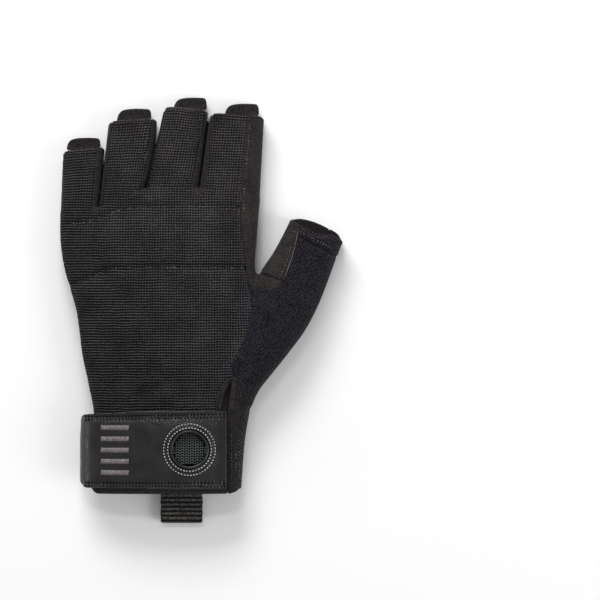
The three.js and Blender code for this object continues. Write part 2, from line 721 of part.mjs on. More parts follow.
// A pull tab lies on the palm leather inside a finger's mouth and reaches out of it.
function pullTab(i) {
  const finger = fingers[i];
  const start = fingerEdge(i, -1, 1) + finger.tabLeft;
  const end = fingerEdge(i, 1, 1) - finger.tabRight;
  const innerStart = Math.max(start, fingerEdge(i, -1, 1) + tabInset);
  const innerEnd = Math.min(end, fingerEdge(i, 1, 1) - tabInset);
  const mouth = (x) => fingerY(i, 1, x) + 2 * seamGap;
  const reach = mouth((start + end) / 2) + tabReach;
  const outline = [
    [start, mouth(start)],
    [innerStart, mouth(innerStart)],
    [innerStart - finger.lean * 0.1, mouth(innerStart) - tabRoot],
    [innerEnd - finger.lean * 0.1, mouth(innerEnd) - tabRoot],
    [innerEnd, mouth(innerEnd)],
    [end, mouth(end)],
    [end, reach - tabShoulder * 0.5],
    [end - tabShoulder * 0.5, reach],
    [start + tabShoulder, reach],
    [start + tabShoulder * 0.35, reach - tabShoulder * 0.35],
    [start, reach - tabShoulder],
  ];
  return prism(outline, wall + seamGap, wall + seamGap + tabThickness);
}

// Materials
const finish = (color, roughness) => new THREE.MeshStandardMaterial({ color, roughness, metalness: 0 });
const materials = {
  wovenNylon: finish(0x232224, 0.75),
  syntheticSuede: finish(0x242221, 0.9),
  towelling: finish(0x211f26, 0.97),
  stretchTwill: finish(0x1d1c1e, 0.8),
  strapLeather: finish(0x262326, 0.45),
  loopCloth: finish(0x1b1a1c, 0.95),
  webbing: finish(0x1c1c1d, 0.7),
  knitMesh: finish(0x252a28, 0.9),
};

const glove = new THREE.Group();
function add(name, shape, material) {
  const { vertProperties, triVerts } = shape.getMesh();
  const geometry = new THREE.BufferGeometry();
  geometry.setAttribute("position", new THREE.BufferAttribute(vertProperties, 3));
  geometry.setIndex(new THREE.BufferAttribute(triVerts, 1));
  geometry.computeVertexNormals();
  const mesh = new THREE.Mesh(geometry, material);
  mesh.name = name;
  glove.add(mesh);
}

add("back_panel", back, materials.wovenNylon);
add("palm_panel", palm, materials.syntheticSuede);
add("palm_patch", palmPatch, materials.syntheticSuede);
add("index_side_strip", indexSide, materials.syntheticSuede);
add("side_wall_pinky_ring", sides[0], materials.syntheticSuede);
add("side_wall_ring_middle", sides[1], materials.syntheticSuede);
add("side_wall_middle_index", sides[2], materials.syntheticSuede);
add("thumb_towelling", thumbTowel, materials.towelling);
add("thumb_hem", hem, materials.towelling);
fingers.forEach((finger, i) => add("pull_tab_" + finger.name, pullTab(i), materials.syntheticSuede));
add("cuff_elastic", elastic, materials.stretchTwill);
add("cuff_base", cuffBase, materials.loopCloth);
add("vent_gusset", gusset, materials.syntheticSuede);
add("vent_binding_left", leftBinding, materials.syntheticSuede);
add("vent_binding_right", rightBinding, materials.syntheticSuede);
add("closure_strap", strap, materials.strapLeather);
add("eyelet_rim", rim, materials.strapLeather);
add("eyelet_mesh", mesh, materials.knitMesh);
add("pull_loop", pullLoop, materials.webbing);
tapes.forEach((tape, i) => add("tape_loop_" + tape.side, tapeLoops[i], materials.webbing));

export default glove;
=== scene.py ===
import math

import bpy
import numpy as np
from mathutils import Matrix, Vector


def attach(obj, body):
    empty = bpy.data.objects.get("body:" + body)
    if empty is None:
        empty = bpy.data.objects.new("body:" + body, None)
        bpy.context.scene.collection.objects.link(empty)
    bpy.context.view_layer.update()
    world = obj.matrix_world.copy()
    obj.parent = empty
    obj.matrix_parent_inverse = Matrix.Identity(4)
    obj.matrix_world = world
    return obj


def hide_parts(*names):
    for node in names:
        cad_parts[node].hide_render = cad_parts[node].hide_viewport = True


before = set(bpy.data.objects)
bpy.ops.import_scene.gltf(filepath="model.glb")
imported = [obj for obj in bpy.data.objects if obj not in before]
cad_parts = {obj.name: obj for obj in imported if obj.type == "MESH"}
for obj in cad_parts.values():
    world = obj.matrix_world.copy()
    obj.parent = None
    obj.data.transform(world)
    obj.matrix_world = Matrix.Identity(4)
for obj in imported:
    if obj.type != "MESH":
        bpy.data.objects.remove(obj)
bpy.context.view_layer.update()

MM = 0.001

# Cloth and leather
cloth_depth = 1.3
hem_depth = 1.5
binding_depth = 1.7
gusset_depth = 0.7
seam_height = 5.5
seam_reach = 0.5  # half of a seam's width, which a panel's rounded edge fills

# Hand
back_length = 152.0
cuff_edge = -81.5
palm_thickness = 22.0
palm_width = 99.5
wrist_width = 73.0
wrist_offset = 4.2
root_thickness = 15.5
sink = 2.5  # how far the sections would reach below the plane that flattens the palm
roundness = 2.6
far = 2 * palm_width  # past every edge of the glove

# Fingers: width and tip width, length, thickness, where the gap to the next finger ends, lean towards the
# thumb, bulge of the thumb side, slope of the mouth, clearance of the pull tab, and the side leather's width
fingers = [
    dict(width=19.1, tip=21.0, length=30.7, thick=13.5, crotch=0.9375, lean=2.1, belly=0.0, slope=0.1,
         tab=(1.4, 2.4), left=(0.0, 0.0), right=(3.3, 3.4)),
    dict(width=23.48, tip=24.5, length=39.2, thick=14.0, crotch=1.0, lean=5.2, belly=1.2, slope=0.06,
         tab=(4.1, 3.1), left=(0.9, 1.9), right=(2.4, 3.0)),
    dict(width=26.67, tip=22.4, length=40.2, thick=14.5, crotch=1.0, lean=6.9, belly=0.0, slope=-0.09,
         tab=(4.7, 1.0), left=(0.9, 0.6), right=(4.1, 1.1)),
    dict(width=30.25, tip=27.2, length=39.4, thick=14.5, crotch=0.97, lean=3.8, belly=0.0, slope=-0.06,
         tab=(7.4, 2.6), left=(3.2, 1.3), right=(9.2, 8.0)),
]
finger_names = ["pinky", "ring", "middle", "index"]
outer_crotch = 0.921
root_depth = 14.0
root_inset = 1.9
finger_gap = 0.4

# Thumb
thumb_width = 28.3
thumb_reach = 90.0
thumb_thickness = 16.0
thumb_angle = math.radians(28)
thumb_crotch = 0.746
thumb_crotch_along = 0.345
hem_width = 5.2

# Cuff, strap, eyelet and vent
cuff_bottom = -74.0
cuff_top = cuff_bottom + 36.5
cuff_corner = 0.36  # slope of the cuff's lower edge at its thumb side
base_top = cuff_edge + 38.3
strap_thickness = 2.2
strap_clear = 0.3 + strap_thickness  # from the cloth to the strap's face
strap_bulge = 3.1
strap_left = wrist_offset - 0.525 * wrist_width - strap_bulge - strap_thickness - 0.3
strap_right = wrist_offset + wrist_width * 0.41
strap_low = cuff_edge + 1.8
strap_high = cuff_edge + 42.4
strap_high_left = cuff_edge + 40.6
strap_corner = 5.0
strap_end_height = 8.5
eyelet_radius = 7.9
eyelet_rim = 1.7
eyelet_centre = (strap_right - 19.1, (strap_low + strap_high) / 2)
vent_width = 15.0
vent_height = 15.4
vent_band = 4.6

# Pull tabs, palm patch, pull loop of webbing, and tape loops
tab_thickness = 1.2
tab_reach = 5.2
tab_root = 4.0
tab_clear = 3.4  # what the tab's root leaves free at each side of the finger's mouth
tab_level = 1.7 + tab_thickness
tab_curl = 1.1
patch_width = 32.0
patch_height = 34.0
patch_thickness = 1.0
webbing_width = 21.0
webbing_middle = 10.6
webbing_thickness = 1.5
webbing_fold = 5.0
webbing_reach = 23.0
webbing_pitch = 2.25  # from one cross rib to the next
webbing_rib = 0.3
tape_thickness = 0.8
tape_fold = 2.6
tape_pitch = 1.1
tape_rib = 0.1
tapes = [("pinky", -17.3, 13.5), ("thumb", 27.8, 9.2)]  # side, middle and width of each

# Rows of stitches: how far below each finger's mouth on the palm, the cuff's levels, and the strap's levels at
# its right end, each with its slope
end_insets = (1.6, 3.6)
cuff_row_levels = (cuff_top - 1.8, cuff_bottom + 1.6)
strap_stitch = 1.8
strap_row_low = cuff_edge + 4.6
strap_row_high = cuff_edge + 39.0
strap_row_slope = 0.02
strap_row_levels = [(strap_row_low - 0.85, 0), (strap_row_low + 0.85, 0), (strap_row_high - 0.85, strap_row_slope),
                    (strap_row_high + 0.85, strap_row_slope)]

# Sections of the hand from the cuff to the finger roots: place, left and right edge, height of the back
hand_rows = np.array([
    [place, middle + left * width, middle + right * width, top * palm_thickness]
    for middle, width, rows in [
        (wrist_offset, wrist_width, [
            (0.0, -0.53, 0.497, 0.86), (0.08, -0.53, 0.508, 0.87), (0.185, -0.522, 0.526, 0.885),
            (0.29, -0.512, 0.56, 0.89)]),
        (0, palm_width, [
            (0.37, -0.356, 0.462, 0.91), (0.48, -0.387, 0.472, 0.955), (0.57, -0.405, 0.475, 0.99),
            (0.66, -0.424, 0.475, 1.0), (0.73, -0.452, 0.475, 0.985), (0.79, -0.477, 0.477, 0.96),
            (0.845, -0.491, 0.484, 0.94), (0.9, -0.499, 0.49, 0.9), (0.95, -0.502, 0.495, 0.8),
            (1.0, -0.5, 0.5, root_thickness / palm_thickness)]),
    ]
    for place, left, right, top in rows])

# Sections of the thumb from its mouth to its heel: place, left and right edge, height
thumb_rows = np.array([
    [place, left * thumb_width, right * thumb_width, top * thumb_thickness]
    for place, left, right, top in [
        (0.0, -0.5, 0.497, 0.97), (0.09, -0.49, 0.54, 1.0), (0.22, -0.497, 0.6, 1.06),
        (thumb_crotch_along, -0.54, 0.645, 1.14), (0.52, -0.53, 0.65, 1.22), (0.66, -0.5, 0.58, 1.25),
        (0.8, -0.44, 0.49, 1.22), (0.9, -0.4, 0.43, 1.14), (1.0, -0.36, 0.4, 1.0)]])


def blend(a, b, share):
    return a + (b - a) * share


def smooth_rows(rows):
    """A table's rows as dense smooth curves through them."""
    place = rows[:, 0]
    slope = np.gradient(rows[:, 1:], place, axis=0)
    dense = np.linspace(place[0], place[-1], 240)
    row = np.clip(np.searchsorted(place, dense, "right") - 1, 0, len(place) - 2)
    step = (place[row + 1] - place[row])[:, None]
    t = (dense - place[row])[:, None] / step
    curve = ((1 + 2 * t) * (1 - t) ** 2 * rows[row, 1:] + t * (1 - t) ** 2 * step * slope[row]
             + t * t * (3 - 2 * t) * rows[row + 1, 1:] - t * t * (1 - t) * step * slope[row + 1])
    return np.column_stack([dense, curve])


hand_curves = smooth_rows(hand_rows)
thumb_curves = smooth_rows(thumb_rows)


def along(curves, place):
    """Left edge, right edge and height at a place along the hand or the thumb."""
    return [np.interp(place, curves[:, 0], curves[:, k]) for k in (1, 2, 3)]


root_x = np.cumsum([-palm_width / 2] + [f["width"] for f in fingers])
root_y = cuff_edge + back_length * np.array([outer_crotch] + [f["crotch"] for f in fingers])


def root_line(x):
    return np.interp(x, root_x, root_y)


def tip_line(i, x):
    finger = fingers[i]
    middle = root_x[i] + finger["width"] / 2
    return root_line(middle) + finger["length"] + finger["slope"] * (x - middle - finger["lean"])


def finger_share(i, x, y):
    """How far a point is along a finger: 0 at its root, 1 at its mouth, less than 0 inside the hand."""
    past = y - root_line(x)
    return np.where(past < 0, past / fingers[i]["length"], past / (tip_line(i, x) - root_line(x)))


def finger_edge(i, side, share):
    finger = fingers[i]
    run = np.maximum(share, 0)
    bulge = 4 * finger["belly"] * run * np.maximum(1 - run, 0) if side > 0 else 0
    middle = root_x[i] + finger["width"] / 2 + finger["lean"] * run
    return middle + side * blend(finger["width"], finger["tip"], run) / 2 + bulge


def finger_y(i, share, x):
    return root_line(x) + share * (tip_line(i, x) - root_line(x))


along_thumb = np.array([math.sin(thumb_angle), math.cos(thumb_angle)])
across_thumb = np.array([math.cos(thumb_angle), -math.sin(thumb_angle)])
crotch_point = np.array([palm_width / 2, blend(cuff_edge, root_y[-1], thumb_crotch)])
thumb_origin = crotch_point + 0.54 * thumb_width * across_thumb + thumb_crotch_along * thumb_reach * along_thumb


def on_thumb(across, reach):
    return thumb_origin + np.multiply.outer(across, across_thumb) + np.multiply.outer(reach, along_thumb)


def thumb_place(x, y):
    """A point's place across and along the thumb, from the middle of its mouth."""
    dx, dy = x - thumb_origin[0], y - thumb_origin[1]
    return dx * across_thumb[0] + dy * across_thumb[1], dx * along_thumb[0] + dy * along_thumb[1]


def section(across, z, left, right, top):
    """Distance from a rounded section that stands on the resting plane and sinks a little below it."""
    half = (right - left) / 2
    rise = (top + sink) / 2
    a = np.abs(across - (left + right) / 2) / half
    b = np.abs(z - (top - sink) / 2) / rise
    total = np.maximum(a**roundness + b**roundness, 1e-6)
    radius = total ** (1 / roundness)
    slope = radius / total * np.hypot(a ** (roundness - 1) / half, b ** (roundness - 1) / rise)
    return (radius - 1) / np.maximum(slope, 0.02)


def melt(a, b, width):
    """The nearer of two surfaces, with a soft join of a given width."""
    mix = np.clip(0.5 + 0.5 * (b - a) / width, 0, 1)
    return b + (a - b) * mix - width * mix * (1 - mix)


def glove_tubes(x, y, z):
    """Distances from the hand, each finger and the thumb."""
    root = root_line(x)
    left, right, top = along(hand_curves, (y - cuff_edge) / (root - cuff_edge))
    tubes = [-melt(-section(x, z, left, right, top), root - y, 1.5)]
    for i, finger in enumerate(fingers):
        share = finger_share(i, x, y)
        inner = np.clip(-share * finger["length"] / root_depth, 0, 1)
        clear = [(0 if outer else finger_gap / 2) + root_inset * inner for outer in (i == 0, i == 3)]
        low, high = finger_edge(i, -1, share) + clear[0], finger_edge(i, 1, share) - clear[1]
        tube = section(x, z, low, high, blend(root_thickness, finger["thick"], np.clip(share, 0, 1)))
        tubes.append(np.maximum(tube, root - root_depth - y))
    across, reach = thumb_place(x, y)
    left, right, top = along(thumb_curves, -reach / thumb_reach)
    tubes.append(np.maximum(section(across, z, left, right, top), -thumb_reach - reach))
    return tubes


def glove_form(x, y, z):
    """Distance from the glove's outer surface, less than 0 inside."""
    hand, *digits, thumb = glove_tubes(x, y, z)
    joined = melt(melt(hand, np.minimum.reduce(digits), 1.3), thumb, 4.5)
    return -melt(-joined, z, 1.2)


def form_at(points):
    return glove_form(points[:, 0], points[:, 1], points[:, 2])


def outward(points, form=form_at):
    """Direction out of a form at each point, not yet of length 1."""
    reach = 0.06
    slope = [form(points + reach * axis) - form(points - reach * axis) for axis in np.eye(3)]
    return np.stack(slope, 1) / (2 * reach)


def settle(points, times=1):
    """Points moved onto the glove's surface."""
    for _ in range(times):
        slope = outward(points)
        size = np.maximum((slope**2).sum(1), 0.05)
        points = points - (form_at(points) / size)[:, None] * slope
    return points


def unit(vectors):
    return vectors / np.maximum(np.linalg.norm(vectors, axis=-1, keepdims=True), 1e-9)


def run_along(line):
    """How far along a line each of its points lies."""
    return np.concatenate([[0], np.cumsum(np.linalg.norm(np.diff(line, axis=0), axis=1))])


def at_run(place, run, line):
    """The points at some distances along a line."""
    return np.stack([np.interp(place, run, column) for column in np.asarray(line).T], 1)


def even_line(line, spacing):
    """Points at an even spacing along a line of any dimension."""
    line = np.array(line, float)
    run = run_along(line)
    return at_run(np.linspace(0, run[-1], max(2, int(run[-1] / spacing) + 1)), run, line)


def beside(line, distance):
    """A line moved to its right by a distance, as seen from above."""
    line = np.array(line)
    way = unit(np.gradient(line, axis=0))
    return np.stack([line[:, 0] + distance * way[:, 1], line[:, 1] - distance * way[:, 0]], 1)


def grid_faces(rows, columns):
    """Faces of a grid of points, numbered row by row."""
    at = np.arange(rows * columns).reshape(rows, columns)
    return np.stack([at[:-1, :-1], at[:-1, 1:], at[1:, 1:], at[1:, :-1]], -1).reshape(-1, 4)


def tube_faces(rings, sides, first=0):
    """Faces round a tube and over both its ends, with the points numbered ring by ring."""
    at = first + np.arange(rings * sides).reshape(rings, sides)
    turned = np.roll(at, -1, 1)
    faces = np.stack([at[:-1], turned[:-1], turned[1:], at[1:]], -1).reshape(-1, 4).tolist()
    return faces + [at[0, ::-1].tolist(), at[-1].tolist()]


def draw_net():
    """The outer surface as a net of four-sided faces, one point in each small cell that it passes through."""
    low, high, step = np.array([-56, -86, -1.2]), np.array([99, 117, 24.6]), np.array([0.55, 0.72, 0.62])
    counts = ((high - low) / step).astype(int) + 1
    axes = [low[k] + step[k] * np.arange(counts[k]) for k in range(3)]
    values = np.empty(counts)
    for start in range(0, counts[0], 40):
        x, y, z = np.meshgrid(axes[0][start:start + 40], axes[1], axes[2], indexing="ij")
        values[start:start + 40] = glove_form(x, y, z)
    cell_of = lambda index: np.ravel_multi_index(tuple(index.T), counts)
    cells, crossings, faces = [], [], []
    for axis in range(3):
        near = np.take(values, range(counts[axis] - 1), axis)
        far = np.take(values, range(1, counts[axis]), axis)
        found = np.argwhere((near < 0) != (far < 0))
        found = found[(found > 0).all(1)]
        first, second = near[tuple(found.T)], far[tuple(found.T)]
        place = found.astype(float)
        place[:, axis] += first / (first - second)
        u, v = np.eye(3, dtype=int)[[(axis + 1) % 3, (axis + 2) % 3]]
        round_edge = [cell_of(found - a * u - b * v) for a, b in ((0, 0), (1, 0), (1, 1), (0, 1))]
        cells += round_edge
        crossings += [place] * 4
        corners = np.stack(round_edge, 1)
        faces.append(np.where((first < 0)[:, None], corners, corners[:, ::-1]))
    cells, crossings, faces = np.concatenate(cells), np.concatenate(crossings), np.concatenate(faces)
    used, number = np.unique(cells, return_inverse=True)
    sums = np.stack([np.bincount(number, crossings[:, k]) for k in range(3)], 1)
    points = low + step * sums / np.bincount(number)[:, None]
    faces = np.searchsorted(used, faces)
    for _ in range(3):
        points = settle(even_out(points, faces))
    return settle(points, 2), faces


def even_out(points, faces):
    """Each point moved halfway to the middle of the faces round it."""
    middles = points[faces].mean(1)
    flat = faces.ravel()
    share = np.bincount(flat, minlength=len(points))
    sums = np.stack([np.bincount(flat, np.repeat(middles[:, k], 4), len(points)) for k in range(3)], 1)
    return 0.5 * points + 0.5 * sums / np.maximum(share, 1)[:, None]


# Seams. An outline is a closed row of points seen from above, less its closing point.
def on_hand(*places):
    return [[across * palm_width, cuff_edge + up * back_length] for across, up in places]


def from_crotch(across, up):
    return [crotch_point[0] + across * palm_width, crotch_point[1] + up * back_length]


def on_vent(*places):
    return [[strap_right + across * vent_width, strap_high + up * vent_height] for across, up in places]


def across_along(*places):
    return [list(on_thumb(across * thumb_width, reach * thumb_reach)) for across, reach in places]


def box(left, low, right, high):
    return [[left, low], [right, low], [right, high], [left, high]]


def soften(line, times=2):
    """An open line with its corners cut."""
    line = np.array(line, float)
    for _ in range(times):
        cut = np.stack([0.75 * line[:-1] + 0.25 * line[1:], 0.25 * line[:-1] + 0.75 * line[1:]], 1)
        line = np.vstack([line[:1], cut.reshape(-1, 2), line[-1:]])
    return line.tolist()


def cloth_edge(i, side, shares):
    """Where a finger's woven back ends and its side leather begins."""
    inset = fingers[i]["right" if side > 0 else "left"]
    xs = [finger_edge(i, side, share) - side * blend(*inset, share) for share in shares]
    return [[x, finger_y(i, share, x)] for x, share in zip(xs, shares)]


def finger_slot(i):
    """The slot in the back between two fingers, where their side leather shows."""
    shares = (1.3, 0.66, 0.33, 0.0)
    left, right = cloth_edge(i, 1, shares), cloth_edge(i + 1, -1, shares)
    start, end = left[-1][0], right[-1][0]
    left[-1][1] = right[-1][1] = root_y[i + 1]
    radius = (end - start) / 2
    turn = np.linspace(math.pi, 2 * math.pi, 9)[1:-1]
    toe = np.stack([start + radius * (1 + np.cos(turn)), root_y[i + 1] + radius * np.sin(turn)], 1)
    return left + toe.tolist() + right[::-1]


back_seam = on_hand((0.361, 0.424), (0.389, 0.449), (0.427, 0.513), (0.457, 0.576), (0.46, 0.638),
                    (0.446, 0.6875), (0.43, 0.768), (0.417, 0.822), (0.408, 0.885))
seam_line = soften(back_seam + cloth_edge(3, 1, (0, 0.33, 0.66, 1.3)))
past_crotch = 21  # the seam line's first point that the side leather follows
left_arch = on_vent((-0.4, -0.2), (-0.393, 0.04), (-0.313, 0.455), (-0.147, 0.78), (0.12, 1))
slit_edge = on_vent((0.12, 0.84), (-0.02, 0.7), (-0.14, 0.4), (-0.22, 0.04), (-0.24, -0.2))
right_arch = on_vent((0.553, -0.1), (0.6, 0.26), (0.54, 0.695), (0.387, 0.922), (0.14, 1))
leather_edge = [(-0.52, -0.342), (-0.117, -0.321), (-0.122, -0.259), (-0.177, -0.156), (-0.315, -0.003),
                (-0.4, 0.08)]
leather_seam = soften(across_along(*leather_edge[1:]))
towel_seam = soften(across_along((0.18, 0.08), (0.28, -0.21), (0.335, -0.367), (0.32, -0.52), (0.18, -0.645),
                                 (-0.035, -0.755), (-0.283, -0.867), (-0.5, -1)))

# The outlines in the order of sewing: each panel takes what the ones before it have left
outlines = dict(
    slot_0=finger_slot(0), slot_1=finger_slot(1), slot_2=finger_slot(2),
    left_binding=soften(left_arch) + soften(slit_edge),
    right_binding=[[strap_right, 2 * cuff_edge], [strap_right + vent_band, 2 * cuff_edge],
                   [strap_right + vent_band, cuff_edge + 0.6 * (strap_high - cuff_edge)]] + soften(right_arch)
    + on_vent((0.14, 0.68)) + [[strap_right, strap_high]],
    gusset=slit_edge + on_vent((0.02, -0.2), (0.02, 0.04), (0.07, 0.35), (0.14, 0.68)),
    elastic_side=[[strap_right + vent_band, cuff_edge + 0.35 * (strap_low - cuff_edge)],
                  [wrist_offset + wrist_width / 2, strap_low], [far, strap_low],
                  [far, cuff_top], [strap_right + vent_band, cuff_top]],
    elastic_palm=box(-far, cuff_bottom, far, cuff_top),
    cuff_base=box(-far, 2 * cuff_edge, strap_right, base_top),
    back=[[-far, base_top], [left_arch[0][0], base_top]] + soften(left_arch)
    + seam_line + [[seam_line[-1][0], far], [-far, far]],
    index_side=seam_line[past_crotch:] + [[0.6 * palm_width, seam_line[-1][1]], from_crotch(0.012, 0.04)]
    + across_along((-0.52, -0.342), (-0.117, -0.321), (-0.205, -0.4)) + [from_crotch(-0.02, -0.047)],
    thumb_leather=across_along(leather_edge[0]) + leather_seam + across_along((-0.8, 0.08), (-0.62, -0.28)),
    thumb_under=towel_seam + across_along((-0.385, -1.2), (1.3, -1.3), (1.3, 0.1)),
)
palm_side = ("elastic_palm", "thumb_under")


def line_distance(points, line):
    """Distance from a line, both seen from above."""
    x, y = points[:, 0], points[:, 1]
    near = np.full(len(points), 1e9)
    for (x0, y0), (x1, y1) in zip(line, line[1:]):
        dx, dy = x1 - x0, y1 - y0
        share = np.clip(((x - x0) * dx + (y - y0) * dy) / max(dx * dx + dy * dy, 1e-9), 0, 1)
        near = np.minimum(near, (x - x0 - share * dx) ** 2 + (y - y0 - share * dy) ** 2)
    return np.sqrt(near)


def outline_distance(points, outline):
    """Distance from an outline, both seen from above, less than 0 inside."""
    x, y = points[:, 0], points[:, 1]
    closed = outline + outline[:1]
    inside = np.zeros(len(points), bool)
    for (x0, y0), (x1, y1) in zip(closed, closed[1:]):
        if y0 != y1:
            inside ^= ((y0 > y) != (y1 > y)) & (x < x0 + (y - y0) / (y1 - y0) * (x1 - x0))
    return np.where(inside, -1, 1) * line_distance(points, closed)


def thumb_back_edge(across):
    return np.minimum(0.045 * np.maximum(across + 1, 0) ** 2 - 0.9, 2.0)


def mouth_distance(points):
    """How far a point is past the mouth of its finger or of the thumb, or past the cuff."""
    x, y, z = points.T
    nearest = np.argmin(glove_tubes(x, y, z), 0)
    across, reach = thumb_place(x, y)
    lip = 4.8 * (1 - (np.abs(across - 4.5) / 19) ** 2.6) - 0.15 * np.maximum(across - 9, 0) ** 1.5
    mouths = [np.full(len(points), -far)]
    for i in range(4):
        left, right = finger_edge(i, -1, 1), finger_edge(i, 1, 1)
        side = np.abs(2 * x - left - right) / (right - left)
        mouths.append(y - tip_line(i, x) + 1.5 * np.minimum(side, 1.1) ** 12)
    mouths.append(reach - blend(lip, thumb_back_edge(across), np.clip(z / thumb_thickness, 0, 1)))
    cuff_line = cuff_edge + cuff_corner * np.maximum(x - strap_right, 0) + 0.22 * np.maximum(-31 - x, 0) ** 2 - y
    return np.maximum(np.choose(nearest, mouths), cuff_line)


def panel_distances(points):
    """Distance from the edge of each panel, less than 0 inside it."""
    below = points[:, 2] - seam_height
    free = {"upper": -below, "lower": below}
    seen, panels = {}, {}
    for name, outline in outlines.items():
        half = "lower" if name in palm_side else "upper"
        seen[name] = outline_distance(points, outline)
        panels[name] = np.maximum(free[half], seen[name])
        free[half] = np.maximum(free[half], -seen[name])
    past_cuff = cuff_top - points[:, 1]
    seam_band = np.abs(below) - 3

    def join(a, b, *around):
        """Two panels as one, across the height where the upper and lower halves meet."""
        return np.minimum(np.minimum(a, b), np.maximum.reduce([seam_band, *around]))

    beside_towel = np.maximum.reduce([-seen["index_side"], -seen["back"], -seen["thumb_leather"], past_cuff])
    towel = join(np.maximum(free["upper"], past_cuff), np.maximum(panels["thumb_under"], past_cuff),
                 beside_towel, seen["thumb_under"])
    hem = np.maximum(towel, -hem_width - thumb_place(points[:, 0], points[:, 1])[1])
    panels["hem"] = np.maximum(hem, np.minimum(1, -panels["index_side"]))
    panels["towel"] = np.maximum(towel, -panels["hem"])
    panels["elastic"] = join(panels["elastic_side"], panels["elastic_palm"], seen["elastic_side"],
                             seen["elastic_palm"])
    panels["palm"] = join(np.maximum(free["lower"], past_cuff), panels["thumb_leather"], seen["thumb_leather"],
                          -seen["thumb_under"])
    return panels


def clip(points, faces, value):
    """The part of a net where value is less than 0, cut along the line where it is 0."""
    keep = value < 0
    count = keep[faces].sum(1)
    kept = faces[count == faces.shape[1]].tolist()
    added, number = [], {}

    def crossing(a, b):
        key = (a, b) if a < b else (b, a)
        if key not in number:
            share = np.clip(value[key[0]] / (value[key[0]] - value[key[1]]), 0.03, 0.97)
            number[key] = len(points) + len(added)
            added.append(blend(points[key[0]], points[key[1]], share))
        return number[key]

    for face in faces[(count > 0) & (count < faces.shape[1])].tolist():
        ring = []
        for a, b in zip(face, face[1:] + face[:1]):
            if keep[a]:
                ring.append(a)
            if keep[a] != keep[b]:
                ring.append(crossing(a, b))
        kept.append(ring)
    return one_piece(np.vstack([points] + added) if added else points, kept)


def one_piece(points, faces):
    """The biggest connected part of a net, with only the points that it uses."""
    parent = list(range(len(points)))

    def find(a):
        while parent[a] != a:
            parent[a] = parent[parent[a]]
            a = parent[a]
        return a

    for face in faces:
        first = find(face[0])
        for other in face[1:]:
            parent[find(other)] = first
    groups = [find(face[0]) for face in faces]
    names, sizes = np.unique(groups, return_counts=True)
    main = names[np.argmax(sizes)]
    faces = [face for face, group in zip(faces, groups) if group == main]
    used = sorted({a for face in faces for a in face})
    number = {a: k for k, a in enumerate(used)}
    return points[used], [[number[a] for a in face] for face in faces]


def thicken(points, faces, normals, depth):
    """A sheet given its thickness inwards, with a rounded edge all round."""
    edges = {(a, b) for face in faces for a, b in zip(face, face[1:] + face[:1])}
    rim = [(a, b) for a, b in edges if (b, a) not in edges]
    rim.sort()
    out = np.zeros_like(points)
    for a, b in rim:
        side = np.cross(points[b] - points[a], normals[a])
        out[a] += side
        out[b] += side
    out = unit(out)
    ends = sorted({a for edge in rim for a in edge})
    place = {a: k for k, a in enumerate(ends)}
    middle = points[ends] - normals[ends] * depth / 2
    total = len(points)
    rows = [points, points - normals * depth]
    for turn in (0.25, 0.5, 0.75):
        bow = math.cos(math.pi * turn) * normals[ends] + math.sin(math.pi * turn) * out[ends]
        rows.append(middle + bow * depth / 2)
    made = list(faces) + [[a + total for a in reversed(face)] for face in faces]
    for a, b in rim:
        left = [a] + [2 * total + row * len(ends) + place[a] for row in range(3)] + [a + total]
        right = [b] + [2 * total + row * len(ends) + place[b] for row in range(3)] + [b + total]
        made += [[right[k], left[k], left[k + 1], right[k + 1]] for k in range(4)]
    return np.vstack(rows), made


def swing(value):
    """A sine or cosine drawn out to the sections' roundness."""
    return np.sign(value) * np.abs(value) ** (2 / roundness)


def wrap_extra(drop):
    """How much further cloth runs over the rounded side than it seems from above, by how far it has dropped."""
    turn = np.linspace(0, math.pi / 2, 200)
    x, z = 45 * swing(np.sin(turn)), 12 * swing(np.cos(turn))
    return np.interp(drop, 12 - z, run_along(np.stack([x, z], 1)) - x)


def cloth_on_hand(points):
    """Place on the flat cloth of the hand and fingers: across, along, and how plainly the columns show."""
    x, y, z = points.T
    left, right, top = along(hand_curves, (y - cuff_edge) / (root_line(x) - cuff_edge))
    middle = (left + right) / 2
    across, run = x - middle, y.copy()
    finger_of = np.clip(np.searchsorted(root_x, x) - 1, 0, 3)
    for i, finger in enumerate(fingers):
        share = np.clip(finger_share(i, x, y), 0, 1)
        here = (finger_of == i) & (share > 0)
        centre = root_x[i] + finger["width"] / 2
        across = np.where(here, x - finger["lean"] * share, np.where(finger_of == i, x, across))
        run = np.where(here, y - finger["slope"] * share * (x - centre), run)
        middle = np.where(here, centre + finger["lean"] * share, middle)
        top = np.where(here, blend(root_thickness, finger["thick"], share), top)
    across = across + np.sign(x - middle) * wrap_extra(np.maximum(top - z, 0))
    plain = np.clip(0.62 + (x + 5) / 70 + (y - 20) / 130, 0.25, 1)
    return np.stack([across, run, plain], 1)


def cloth_on_thumb(points):
    across, reach = thumb_place(points[:, 0], points[:, 1])
    side = np.sign(across)
    return np.stack([across + side * wrap_extra(np.maximum(thumb_thickness - points[:, 2], 0)), reach,
                     np.ones(len(points))], 1)

